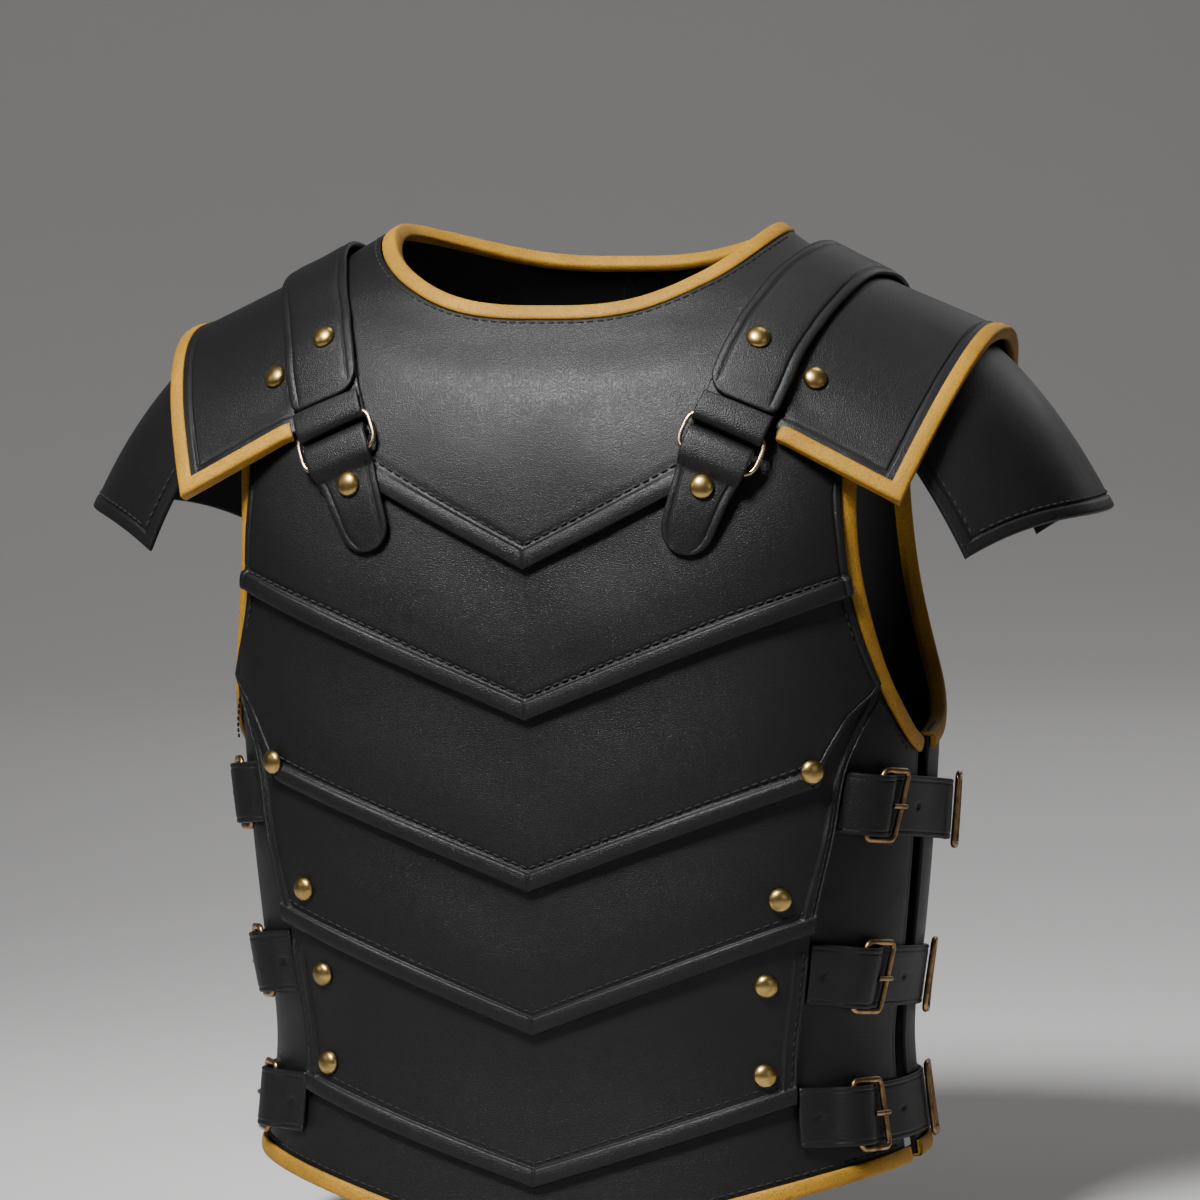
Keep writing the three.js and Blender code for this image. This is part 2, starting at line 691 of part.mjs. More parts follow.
const perU = (end, v) => 1 / surfaceStep(upperFlapMiddle, end, v, -0.05 * end, 0);
const perV = (u) => 1 / surfaceStep(upperFlapMiddle, u, 0.9, 0, 0.05);
const inFromEnd = (end, v, inset) => end * (1 - inset * perU(end, v));
const inFromEdge = (u, inset) => 1 - inset * perV(u);

// Columns of the upper flap: two at a distance in from each end, shares between.
const LEG = BINDING + BINDING_GAP;
const middleShares = spread(11).map((t) => mix(-0.88, 0.88, t));
const flapColumns = [
  (v) => inFromEnd(-1, v, EDGE_INSET), (v) => inFromEnd(-1, v, LEG),
  ...middleShares.map((u) => () => u),
  (v) => inFromEnd(1, v, LEG), (v) => inFromEnd(1, v, EDGE_INSET),
];
const downSide = [0.18, 0.27, 0.45, 0.7];
const flapRows = [
  ...[0, FLAP_BEND_V, ...downSide].map((v) => () => v),
  (u) => inFromEdge(u, LEG), (u) => inFromEdge(u, EDGE_INSET),
];
const NEAR_EDGE = 0.95;
const upperAddresses = flapRows.map((rowV) => flapColumns.map((columnU) => {
  const v = rowV(columnU(NEAR_EDGE));
  return [columnU(v), v];
}));
addPair('upper_flap', flapWall(upperFlapMiddle, upperAddresses), leather);
const lowerAddresses = spread(6).map((v) => spread(12).map((t) => [mix(-1, 1, t), v]));
addPair('lower_flap', flapWall(lowerFlapMiddle, lowerAddresses), leather);

// Binding along the upper flap's front, outer and back edges, mitred.
function flapBinding() {
  const section = bindingSection(-FLAP / 2, FLAP / 2, BINDING_SKIN + GAP);
  const station = (place) => section.map(([inset, lift]) => {
    const [u, v] = place(inset);
    return offsetPoint(upperFlapMiddle, u, v, lift);
  });
  const side = (end) => downSide.map((v) => station((inset) => [inFromEnd(end, v, inset), v]));
  const corner = (end) => station((inset) => {
    const v = inFromEdge(end, inset);
    return [inFromEnd(end, v, inset), v];
  });
  const outer = flapColumns.slice(1, -1).map((columnU) => station((inset) => {
    const v = inFromEdge(columnU(NEAR_EDGE), inset);
    return [columnU(v), v];
  }));
  return sweptWall([...side(-1), corner(-1), ...outer, corner(1), ...side(1).reverse()]);
}

addPair('upper_flap_binding', flapBinding(), gold);

// ---- straps and their folded ends ------------------------------------------

// A strip of leather through middle stations (distance along, lift), of the
// half width that the function gives, put in space by the given place.
function stripWall(stations, thickness, across, place) {
  const normals = stations.map((_, i) => {
    const a = stations[max(0, i - 1)];
    const b = stations[min(stations.length - 1, i + 1)];
    const length = hypot(b[0] - a[0], b[1] - a[1]);
    return [-(b[1] - a[1]) / length, (b[0] - a[0]) / length];
  });
  const grid = (turn) => stations.map(([s, lift], i) => across(i).map(([w, shift]) => (
    place(s + shift + normals[i][0] * turn, w, lift + normals[i][1] * turn))));
  return leatherWall(grid(thickness / 2), grid(-thickness / 2));
}

const STRAP_LIFT = FLAP_LIFT + FLAP / 2 + 0.65;
const STRAP_FRONT = 131; // where the strap ends, from the ridge
const STRAP_BACK = -112;
const STRAP_RIVET = 99.6;
const END_ROUND = 11;     // corner of a strap's end: beside the neck, behind
const END_CORNER = 5;     // and outside
const RING_CENTRE = 151.5;
const RING_LIFT = BED + 4.6;
const TONGUE_RIVET = 173;
const TONGUE_TIP = 206;
const LOOP_WIDTH = 31;

const strapLift = (s) => mix(STRAP_LIFT, STRAP_LIFT + LOOP + GAP, smooth((s - 70) / 35));

// How far a strap end is drawn back at a share (-1..1) of its half width.
function roundedBack(share, corner) {
  const into = max(0, share - 1 + 2 * corner / STRAP_WIDTH) * STRAP_WIDTH / 2;
  return corner - (corner ** 2 - into ** 2) ** 0.5;
}

function strapStrip() {
  const shares = [-1, -0.84, -0.4, 0.4, 0.84, 1];
  const marks = spread(15).map((t) => mix(STRAP_BACK, STRAP_FRONT, t));
  const shift = (share, s) => {
    const front = smooth((s - STRAP_FRONT + 26) / 26);
    const back = smooth((STRAP_BACK + 26 - s) / 26);
    return -front * (roundedBack(-share, END_ROUND) + roundedBack(share, END_CORNER))
      + back * roundedBack(abs(share), END_ROUND);
  };
  const stations = marks.map((s) => [s, strapLift(s) + STRAP / 2]);
  return stripWall(stations, STRAP, (i) => shares.map((share) => (
    [-share * STRAP_WIDTH / 2, shift(share, marks[i])])), onStrapLine);
}

// The roll of leather under the strap's end that holds the ring.
function loopStrip() {
  const bar = RING_CENTRE - RING_HALF_HEIGHT;
  const low = STRAP_LIFT + LOOP / 2;
  const high = RING_LIFT + RING_WIRE / 2 + GAP + LOOP / 2;
  const stations = [
    [bar - 26, low], [bar - 12, low], [bar + 1.5, low], [bar + 4.3, low + 0.9],
    [bar + 5.4, RING_LIFT], [bar + 4.3, high - 0.9], [bar + 1.5, high], [bar - 2.5, high],
    [STRAP_FRONT + LOOP / 2, high - 1.2],
  ];
  return stripWall(stations, LOOP, (i) => [-1, -0.5, 0, 0.5, 1].map((share) => (
    [-share * LOOP_WIDTH / 2, 0])), onStrapLine);
}

function tongueStrip() {
  const bar = RING_CENTRE + RING_HALF_HEIGHT;
  const low = BED + GAP + TONGUE / 2;
  const high = RING_LIFT + RING_WIRE / 2 + GAP + TONGUE / 2;
  const flat = BED + BAND_LIFT + GAP + TONGUE / 2;
  const stations = [
    [bar - 3, low], [bar - 4.9, low + 1], [bar - 5.9, RING_LIFT], [bar - 4.9, high - 1],
    [bar - 2, high], [bar + 1, high - 0.3], [bar + 2.7, high - 1.5], [bar + 3.7, high - 2.9],
    [bar + 5.2, flat + 0.3], [TONGUE_RIVET + 8, flat], [TONGUE_TIP - 16, flat - 0.7],
    [TONGUE_TIP - 8, flat - 1.6], [TONGUE_TIP - 3, flat - 2], [TONGUE_TIP, flat - 2.1],
  ];
  const halfWidth = ([s]) => {
    const grow = mix(0.84, 1, smooth((s - bar) / 14));
    const round = max(0, s - TONGUE_TIP + TONGUE_WIDTH / 2) / (TONGUE_WIDTH / 2);
    return TONGUE_WIDTH / 2 * grow * max(0.3, (1 - min(1, round) ** 2.2) ** 0.5);
  };
  return stripWall(stations, TONGUE, (i) => [-1, -0.6, 0, 0.6, 1].map((share) => (
    [-share * halfWidth(stations[i]), 0])), onStrapLine);
}

// A closed rod of round section along a flat oval or a rounded rectangle, as
// stations of the centre and the outward direction in (along, across).
function rodRing(stations, wire, sides, place) {
  return sweptWall(stations.map(([s, w, ds, dw, lift]) => spread(sides).slice(1).map((k) => {
    const out = wire / 2 * cos(2 * PI * k);
    const up = wire / 2 * sin(2 * PI * k);
    return place(s + ds * out, w + dw * out, lift + up);
  })), true);
}

function ringRod() {
  const power = 2 / RING_SQUARENESS;
  const at = (phase) => [
    RING_HALF_HEIGHT * sign(sin(phase)) * abs(sin(phase)) ** power,
    RING_HALF_WIDTH * sign(cos(phase)) * abs(cos(phase)) ** power,
  ];
  const stations = spread(20).slice(1).map((k) => {
    const phase = 2 * PI * (k - 1 / 40);
    const [s, w] = at(phase);
    const ahead = at(phase + 0.01);
    const length = hypot(ahead[0] - s, ahead[1] - w);
    const outward = [(w - ahead[1]) / length, (ahead[0] - s) / length];
    return [RING_CENTRE + s, w, outward[0], outward[1], RING_LIFT];
  });
  return rodRing(stations, RING_WIRE, 6, onStrapLine);
}

addPair('shoulder_strap', strapStrip(), leather);
addPair('ring_loop', loopStrip(), leather);
addPair('ring', ringRod(), brass);
addPair('tongue', tongueStrip(), leather);

// ---- side straps and buckles -----------------------------------------------

// Where each side strap lies: its height, and places on it as the distance
// forward from the buckle's rear bar, the distance up from its middle, the lift.
const sideLines = SIDE_STRAP_ROWS.map((row) => {
  const height = row[SIDE_STRAP_COLUMNS.indexOf('z')];
  const slope = row[SIDE_STRAP_COLUMNS.indexOf('slope')];
  const rear = SIDE_STRAP_REAR_ANGLE + 4;
  const path = (t) => [mix(rear, 50, t), height];
  const measure = measuredPath(path, (rear - BUCKLE_ANGLE) / (rear - 50));
  const address = (s, w) => [path(measure(s - slope * w))[0], height + w + slope * s];
  return { height, address, place: (s, w, lift) => formPoint(...address(s, w), lift) };
});

const SIDE_LEVEL = LEVEL_1 + 0.2;
const REAR_BAR_LIFT = SIDE_LEVEL + SIDE_STRAP + GAP + BUCKLE_WIRE / 2;
const FRONT_BAR_LIFT = SIDE_LEVEL + CHAPE + GAP + BUCKLE_WIRE / 2;
const RAIL = SIDE_STRAP_WIDTH / 2 + GAP + BUCKLE_WIRE / 2;
const BUCKLE_CORNER = 3;
const STACK_CLEARANCE = 0.3;  // degrees between a strap's end and the lames
const DEGREE_LENGTH = 2.4;    // along the girth in front of the buckles

function buckleRod(place) {
  const corners = [[0, 1], [BUCKLE_REACH, 1], [BUCKLE_REACH, -1], [0, -1]];
  const stations = [];
  corners.forEach(([s, up], k) => {
    const inward = s === 0 ? 1 : -1;
    const centre = [s + inward * BUCKLE_CORNER, up * (RAIL - BUCKLE_CORNER)];
    [0, 45, 90].forEach((turn) => {
      const a = radians(k % 2 === 0 ? turn : 90 - turn);
      const out = [-inward * cos(a), up * sin(a)];
      const at = centre.map((value, c) => value + BUCKLE_CORNER * out[c]);
      const lift = mix(REAR_BAR_LIFT, FRONT_BAR_LIFT, at[0] / BUCKLE_REACH);
      stations.push([at[0], at[1], out[0], out[1], lift]);
    });
  });
  return rodRing(stations, BUCKLE_WIRE, 6, place);
}

// Tab folded round the buckle's front bar.
function chapeStrip(place) {
  const low = SIDE_LEVEL + CHAPE / 2;
  const turn = BUCKLE_WIRE / 2 + GAP + CHAPE / 2 + 0.1;
  const high = low + CHAPE + GAP;
  const stations = [
    [BUCKLE_REACH + 12, low], [BUCKLE_REACH + 2, low], [BUCKLE_REACH - 2, low + 0.3],
    [BUCKLE_REACH - turn, FRONT_BAR_LIFT], [BUCKLE_REACH - 1.8, FRONT_BAR_LIFT + turn - 0.6],
    [BUCKLE_REACH + 1.5, FRONT_BAR_LIFT + turn - 0.3], [BUCKLE_REACH + 4.4, high + 1.4],
    [BUCKLE_REACH + 6.5, high], [BUCKLE_REACH + 10, high],
  ];
  return stripWall(stations, CHAPE, () => [-1, 1].map((share) => (
    [-share * CHAPE_WIDTH / 2, 0])), place);
}

// Length round the form at a height, from the buckle's rear bar to an angle.
function girthLength(height, angle) {
  const at = (t) => sectionPoint(mix(BUCKLE_ANGLE, angle, t), height);
  return spread(12).slice(1).reduce((sum, t) => sum + at(t).distanceTo(at(t - 1 / 12)), 0);
}

// Distance forward along a side strap where it meets the edge of the lames.
function stackReach({ address }, w) {
  let s = 40;
  for (let pass = 0; pass < 20; pass += 1) {
    const [angle, z] = address(s, w);
    s += (angle - stackAngle(z) - STACK_CLEARANCE) * DEGREE_LENGTH;
  }
  return s;
}

// Strap from the side, over the buckle, to the edge of the lames.
function sideStrip(line) {
  const flat = SIDE_LEVEL + SIDE_STRAP / 2;
  const over = FRONT_BAR_LIFT + BUCKLE_WIRE / 2 + 2 * GAP + CHAPE + SIDE_STRAP / 2;
  const rear = -girthLength(line.height, SIDE_STRAP_REAR_ANGLE);
  const front = stackReach(line, 0);
  const stations = [
    ...spread(5).map((t) => [mix(rear, -5, t), flat]), [2, flat + 0.1],
    [6, flat + 1.3], [10, over - 3], [14, over - 0.4], [BUCKLE_REACH, over], [22, over - 0.3],
    [27, over - 2.2], [32, flat + 2.6], [front - 3, flat + 1.2], [front, flat + 0.7],
  ];
  return stripWall(stations, SIDE_STRAP, (i) => [-1, 0, 1].map((share) => {
    const w = -share * SIDE_STRAP_WIDTH / 2;
    return [w, i >= stations.length - 2 ? stackReach(line, w) - front : 0];
  }), line.place);
}

sideLines.forEach((line, i) => {
  addPair(`side_strap_${i + 1}`, sideStrip(line), leather);
  addPair(`buckle_${i + 1}`, buckleRod(line.place), brass);
  addPair(`buckle_tab_${i + 1}`, chapeStrip(line.place), leather);
});

// ---- rivets ----------------------------------------------------------------

const rivetProfile = [
  [0, 0], [RIVET_RADIUS, 0], [RIVET_RADIUS * 0.88, RIVET_HEIGHT * 0.55],
  [RIVET_RADIUS * 0.5, RIVET_HEIGHT * 0.92], [0, RIVET_HEIGHT],
].map(([x, y]) => new THREE.Vector2(x, y));
const rivetShape = new THREE.LatheGeometry(rivetProfile, 10);

function addRivet(name, point, normal) {
  for (const [suffix, side] of [['left', 1], ['right', -1]]) {
    const mesh = new THREE.Mesh(rivetShape, brass);
    mesh.name = `${name}_${suffix}`;
    mesh.position.set(point.x * side, point.y, point.z);
    const axis = new THREE.Vector3(normal.x * side, normal.y, normal.z);
    mesh.quaternion.setFromUnitVectors(new THREE.Vector3(0, 1, 0), axis);
    cuirass.add(mesh);
  }
}

// Rivets on the lames: number, angle, height and lift.
const LAME_RIVETS = [
  [3, 54, -256.5, BED + BAND_LIFT + GAP],
  [4, 50, -318.5, BED + GAP],
  [5, 48.7, -361, LEVEL_1 + LAME + GAP],
  [6, 49, -406, LEVEL_1 + LAME + GAP],
];
LAME_RIVETS.forEach(([number, angle, z, lift]) => {
  addRivet(`lame_rivet_${number}`, formPoint(angle, z, lift), formNormal(angle, z));
});

function rivetOnStrap(name, s, w, lift) {
  const [angle, z] = besideCurve(strapPath, strapMeasure(s), -1, w);
  addRivet(name, formPoint(angle, z, lift), formNormal(angle, z));
}

rivetOnStrap('strap_rivet', STRAP_RIVET, 4, strapLift(STRAP_RIVET) + STRAP + GAP);
rivetOnStrap('tongue_rivet', TONGUE_RIVET, 0, BED + BAND_LIFT + GAP + TONGUE + GAP);
const FLAP_RIVET = { u: -0.785, v: 0.22 };
const flapRivetPoint = offsetPoint(upperFlapMiddle, FLAP_RIVET.u, FLAP_RIVET.v, FLAP / 2 + GAP);
const flapRivetAbove = offsetPoint(upperFlapMiddle, FLAP_RIVET.u, FLAP_RIVET.v, FLAP / 2 + GAP + 1);
addRivet('flap_rivet', flapRivetPoint, flapRivetAbove.sub(flapRivetPoint).normalize());

export default cuirass;
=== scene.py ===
import bmesh
import bpy
import numpy as np
from mathutils import Matrix, Vector


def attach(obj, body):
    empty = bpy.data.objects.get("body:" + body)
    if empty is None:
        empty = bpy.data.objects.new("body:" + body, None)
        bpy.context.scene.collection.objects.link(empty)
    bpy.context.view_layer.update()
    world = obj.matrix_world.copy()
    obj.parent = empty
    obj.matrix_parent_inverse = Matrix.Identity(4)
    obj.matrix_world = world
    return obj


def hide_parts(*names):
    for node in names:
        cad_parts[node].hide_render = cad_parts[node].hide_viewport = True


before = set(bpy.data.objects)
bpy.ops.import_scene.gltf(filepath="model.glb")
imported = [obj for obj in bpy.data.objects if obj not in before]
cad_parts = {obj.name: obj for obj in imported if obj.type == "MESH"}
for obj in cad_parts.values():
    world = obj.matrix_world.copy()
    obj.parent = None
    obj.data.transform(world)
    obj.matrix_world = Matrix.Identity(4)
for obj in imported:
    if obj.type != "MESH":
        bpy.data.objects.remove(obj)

bl_info = {
    "name": "Leather cuirass",
    "version": (1, 0, 0),
    "blender": (4, 5, 0),
    "location": "View3D > Sidebar > Cuirass",
    "description": "Leather, stitching and brass of a buckled cuirass, fitted round its fixed frame",
    "category": "Object",
}

MM = 0.001

# ---- sizes shared with the frame, in millimetres -----------------------------

# Inner surface of the body leather at each height: half width, front and back
# depth, and how square the front and back quarters are.
FORM_COLUMNS = ("z", "half", "front", "back", "front_power", "back_power")
FORM_ROWS = (
    (-520, 169, 119, 109, 2.6, 2.4),
    (-459, 163, 115, 104, 2.6, 2.4),
    (-399, 157, 112, 100, 2.6, 2.4),
    (-344, 163, 115, 104, 2.65, 2.4),
    (-284, 168, 118, 110, 2.75, 2.4),
    (-224, 171, 120, 114, 2.85, 2.4),
    (-164, 172, 121, 115, 3.0, 2.4),
    (-114, 171, 116, 110, 3.3, 2.4),
    (-74, 169, 104, 101, 3.0, 2.4),
    (-52, 165, 91, 92, 2.75, 2.3),
    (-42, 160, 84, 86, 2.6, 2.3),
    (-32, 148, 77, 80, 2.5, 2.3),
    (-22, 128, 68, 71, 2.4, 2.2),
    (-12, 111, 60, 63, 2.3, 2.2),
    (0, 93, 50, 54, 2.2, 2.2),
    (12, 76, 40, 45, 2.2, 2.2),
)
FORM = dict(zip(FORM_COLUMNS, np.array(FORM_ROWS, float).T))

# Curves drawn on the form: angle round the body (0 front, 90 the wearer's
# left, 180 back) and height.
ARMHOLE_FRONT = (
    (90, -38.5), (76, -52), (66.5, -78), (61.4, -115), (61.2, -146),
    (63.6, -179), (68.6, -213), (75.5, -237), (81, -247),
)
ARMHOLE_BACK = (
    (90, -38.5), (103, -52.5), (112, -78.5), (116.5, -112), (117.5, -146),
    (115, -182), (108.5, -214), (98, -238), (87, -247),
)
STACK_EDGE = (
    (66.6, -222), (62.4, -243), (60.2, -258), (58.7, -286), (57.2, -310),
    (56, -337), (55.6, -369), (55, -399), (54.4, -428),
)
STRAP_LINE = (
    (134, -100), (129, -78), (121.7, -55.5), (109.7, -35.7), (90, -21.5), (76.8, -26.2),
    (66.8, -32.2), (59.2, -43), (52.3, -56.5), (47.3, -77.5), (42.6, -95), (39, -110),
    (36.7, -120), (32.4, -156),
)
STRAP_RIDGE_ROW = 4

NECK_FRONT_DROP = 36.5
NECK_BACK_DROP = 17
NECK_POWER = 3.4
FRONT_EDGE_ANGLE = 81
BACK_EDGE_ANGLE = 87
HEM_APEX = -502
HEM_RISE = 44
HEM_POWER = 1.25
HEM_REACH = 166
BACK_HEM = -458

# Chevrons from the top down: height of the point, slope of the arms.
CHEVRONS = ((-160, 0.5), (-232.5, 0.41), (-315.8, 0.39), (-386.5, 0.4), (-461.4, 0.33))

BODY = 3                 # thickness of the plates' leather
LAME = 2.4               # of the bib and the lames
GAP = 0.4                # between pieces that lie on each other
LAP = 25                 # how far a lame goes in under the next
BAND = 10                # height of a lame's rolled edge
BAND_LIFT = 1.4          # how far it stands out
BINDING = 8              # width of the bindings' outer leg
BINDING_SKIN = 1.6       # thickness of their leather
BINDING_GAP = 0.6        # between a binding and what it holds
EDGE_INSET = 2           # from a binding's edge to the leather's
INNER_LEG = 5            # width of the bindings' inner leg
OUTER_LEG = 3            # from the plate's face to the binding's
FLAP = 2.6               # thickness of the flaps
STRAP_WIDTH = 35
STRAP = 3.2              # thickness of the shoulder straps
LOOP = 2                 # of the rolls that hold the rings
LOOP_WIDTH = 33.8
TONGUE = 2.6             # of the tongues
TONGUE_WIDTH = 27.5
RING_WIRE = 2.4
RING_HALF_WIDTH = 18.8
RING_HALF_HEIGHT = 10.5
RING_SQUARENESS = 3.6    # power of the ring's oval
RIVET_RADIUS = 6
RIVET_HEIGHT = 3.8
SIDE_STRAP_WIDTH = 29.5
SIDE_STRAP = 2.2         # thickness of the side straps
# Height and slope; how far the buckle's bars slant, top to the back; how far the strap stands
# off at its back end.
SIDE_STRAP_COLUMNS = ("height", "slope", "lean", "rise")
SIDE_STRAP_ROWS = ((-277.5, 0.13, 0.17, 5.5), (-361.5, 0.12, 0.05, 0), (-430, 0.05, -0.1, 0))
HOLES = (38.0, -22.0)    # punched holes along a side strap
SIDE_STRAP_REAR_ANGLE = 106
CHAPE = 1.5              # thickness of the tab that holds a buckle
CHAPE_WIDTH = 24
BUCKLE_WIRE = 3.2
BUCKLE_REACH = 18        # from a buckle's rear bar to its front bar
BUCKLE_ANGLE = 72        # round the body, of the rear bar
BUCKLE_CORNER = 3
REAR_FRAME_REACH = 13
REAR_FRAME_ANGLE = 100

LEVEL_1 = BODY + GAP     # lift on the plate
LEVEL_2 = LEVEL_1 + LAME + GAP  # lift on a lame
BIB_LEVELS = (LEVEL_1 + 0.3, LEVEL_2 + 0.2)  # of the bib's top and of its lower edge
BED = BIB_LEVELS[1] + LAME  # lift on the bib
LAME_INSET = BINDING + 0.8  # from the bound edge to the lames beside it
LAME_TOP = -86           # highest that a lame reaches
BESIDE_BORDER = 4.4      # degrees that lame 3 keeps clear of the border below
BIB_NECK_SHARE = 0.8     # share of the bib's top along the neckline
BIB_TOP_ANGLE = 88.5     # where it leaves the neckline

FLAP_LIFT = LEVEL_2 + FLAP / 2  # of the flap's middle under the strap
FLAP_FRONT = 140         # front and back ends along the strap, from the ridge
FLAP_BACK = -122
FLAP_ROOT = -9           # root and first bend, across the strap
FLAP_BEND = -21.5
FLAP_END_LIFT = 3.4      # how far the flap's ends rise
FLAP_FRONT_ASIDE = -11   # how far its front end's root goes outwards
FLAP_BEND_V = 0.14       # share of the flap's width at the bend
FLAP_CENTRE_Y = 10
# Outer edges: place of the middle, half length, how far in and down the ends are.
UPPER_EDGE = {"x": 208, "z": -51, "half_length": 115, "narrowing": 28, "drop": 77}
LOWER_EDGE = {"x": 258, "z": -138, "half_length": 88.5, "narrowing": 52, "drop": 18}
LOWER_ROOT_V = 0.66      # where the lower flap's root lies under the upper flap
LOWER_ROOT_U = 0.8
LOWER_BULGE = 7          # of the lower flap between root and edge

STRAP_LIFT = FLAP_LIFT + FLAP / 2 + 0.65  # of the shoulder strap's inner face
STRAP_FRONT = 131        # ends along the strap, from the ridge
STRAP_BACK = -112
STRAP_RIVET = (99.6, 4)  # along and across
END_ROUND = 11           # radius of the strap's round corners
END_CORNER = 5           # and of the front inner one
RING_CENTRE = 151.5
RING_LIFT = BED + 4.6
TONGUE_RIVET = 173
TONGUE_TIP = 206

SIDE_LEVEL = LEVEL_1 + 0.2  # lift of the side straps
REAR_BAR_LIFT = SIDE_LEVEL + SIDE_STRAP + GAP + BUCKLE_WIRE / 2
FRONT_BAR_LIFT = SIDE_LEVEL + CHAPE + GAP + BUCKLE_WIRE / 2
RAIL = SIDE_STRAP_WIDTH / 2 + GAP + BUCKLE_WIRE / 2  # from the strap's middle to a buckle's side
STACK_CLEARANCE = 0.3    # degrees between the side straps and the lames
DEGREE_LENGTH = 2.4      # about the length of a degree of girth

# Rivets on the lames: number, angle, height and lift; on the flap: its u and v.
LAME_RIVETS = (
    (3, 54, -256.5, BED + BAND_LIFT + GAP),
    (4, 50, -318.5, BED + GAP),
    (5, 48.7, -361, LEVEL_1 + LAME + GAP),
    (6, 49, -406, LEVEL_1 + LAME + GAP),
)
FLAP_RIVET = (-0.75, 0.22)

# ---- sizes of the surface work, in millimetres --------------------------------

GRID_STEP = 3.2          # between grid lines on plain leather
FINE_STEP = 1.0          # where a band, groove or edge needs it
BAND_ROUND = 1.5         # height of a lame's rolled edge
BAND_DOME = 0.75
STITCH_INSET = 1.9       # stitches above a rolled edge
BORDER_WIDTH = 8.6       # side border of the lower lames
BORDER_BEGINS = {4: 0.09, 5: 0.3}  # share of a lame's height where its border begins
CREASE_DEPTH = 0.6
CREASE_WIDTH = 0.6
ARMHOLE_CREASE = 4.2     # beside the armhole's binding
FLAP_CREASE = 4.2        # beside the flap's binding
LOWER_BORDER = 7         # border strip of the lower flap
STRAP_CREASE = 4.4
TONGUE_CREASE = 3.6
CREASE_BEND = 0.65       # width of the creases on flaps and straps
CREASE_CUT = 0.75        # and their depth
STITCH_SIDES = 6

PLATE_HALF = 230         # about half a plate's width
PLATE_SIDES = {"front": 240, "back": 220}  # height of the side below the armhole
PLATE_RISE = 230         # from the armhole's foot to the shoulder
PLATE_STEP = 5           # between grid lines on the plates
RISE_STEP = 4            # and above the armhole's foot
LAME_HALF = 170          # about half a lame's width
BIB_HALF = 110
BIB_HEIGHT = 122
UPPER_GRID = (250, 95)   # length and width that the flaps' grids are spaced for
LOWER_GRID = (180, 100)

RIDGE_CLEARANCE = 0.1    # degrees between each plate and the shoulder's ridge
OVER_THE_CURVE = 1.05    # a plate's length over its curve for its height
ON_CENTRE = 1e-6         # closer than this to the centre plane counts as on it

# ---- the form -----------------------------------------------------------------


def mix(a, b, t):
    return a + (b - a) * t


def smooth(t):
    """Rises from 0 to 1 with level ends."""
    k = np.clip(t, 0, 1)
    return k * k * (3 - 2 * k)


def unit(vectors):
    return vectors / np.linalg.norm(vectors, axis=-1, keepdims=True)


def together(*values):
    """The values as float arrays of one shape."""
    return np.broadcast_arrays(*(np.asarray(value, float) for value in values))


def length_along(points, axis=0):
    """Length along a line of points up to each of them, from 0."""
    steps = np.linalg.norm(np.diff(points, axis=axis), axis=-1)
    return np.concatenate([np.zeros_like(steps.take([0], axis)), np.cumsum(steps, axis)], axis)


def table_value(x, y, at):
    """Cubic through the points (x, y); each point's slope is that between its neighbours."""
    at = np.asarray(at, float)
    i = np.searchsorted(x[1:-1], at, side="left")
    number = np.arange(len(x))
    before = np.maximum(number - 1, 0)
    after = np.minimum(number + 1, len(x) - 1)
    slope = (y[after] - y[before]) / (x[after] - x[before])
    step = x[i + 1] - x[i]
    t = (at - x[i]) / step
    rise = y[i + 1] - y[i]
    start = slope[i] * step
    end = slope[i + 1] * step
    return (y[i] + t * start + t**2 * (3 * rise - 2 * start - end)
            + t**3 * (start + end - 2 * rise))


def form_size(name, z):
    return table_value(FORM["z"], FORM[name], z)


def section(angle, z):
    """Point of the form: a squarish oval whose reach at an angle is one over the power sum of
    sine over half width and cosine over depth."""
    angle, z = together(angle, z)
    s = np.sin(np.radians(angle))
    c = np.cos(np.radians(angle))
    depth = np.where(c >= 0, form_size("front", z), form_size("back", z))
    power = np.where(c >= 0, form_size("front_power", z), form_size("back_power", z))
    reach = ((abs(s) / form_size("half", z)) ** power + (abs(c) / depth) ** power) ** (-1 / power)
    return np.stack([reach * s, -reach * c, z], -1)


def form_normal(angle, z):
    """Outward normal of the form, from the cross product of short steps across and up."""
    angle = np.asarray(angle, float)
    z = np.asarray(z, float)
    across = section(angle + 0.05, z) - section(angle - 0.05, z)
    up = section(angle, z + 0.4) - section(angle, z - 0.4)
    return unit(np.cross(across, up))


def on_form(angle, z, lift):
    """Point at a lift from the form along its normal."""
    lift = np.asarray(lift, float)
    return section(angle, z) + form_normal(angle, z) * lift[..., None]


def address(point):
    """Angle round the body, and height, of a point."""
    return np.degrees(np.arctan2(point[..., 0], -point[..., 1])), point[..., 2]


def curve_at(rows, t):
    """Cubic through a drawn curve's rows, at the fraction t of its rows."""
    numbers = np.linspace(0, 1, len(rows))
    angle, z = np.array(rows, float).T
    return table_value(numbers, angle, t), table_value(numbers, z, t)


def beside(path, t, side, distance, reach=0.004):
    """Address on the form at a distance across a curve, towards the given side; the curve's
    direction is taken over the reach on both sides."""
    t = np.asarray(t, float)
    distance = np.asarray(distance, float)
    angle, z = path(t)
    before = section(*path(np.maximum(0, t - reach)))
    after = section(*path(np.minimum(1, t + reach)))
    normal = form_normal(angle, z)
    across = unit(np.cross(normal, unit(after - before))) * side
    return address(section(angle, z) + across * distance[..., None])


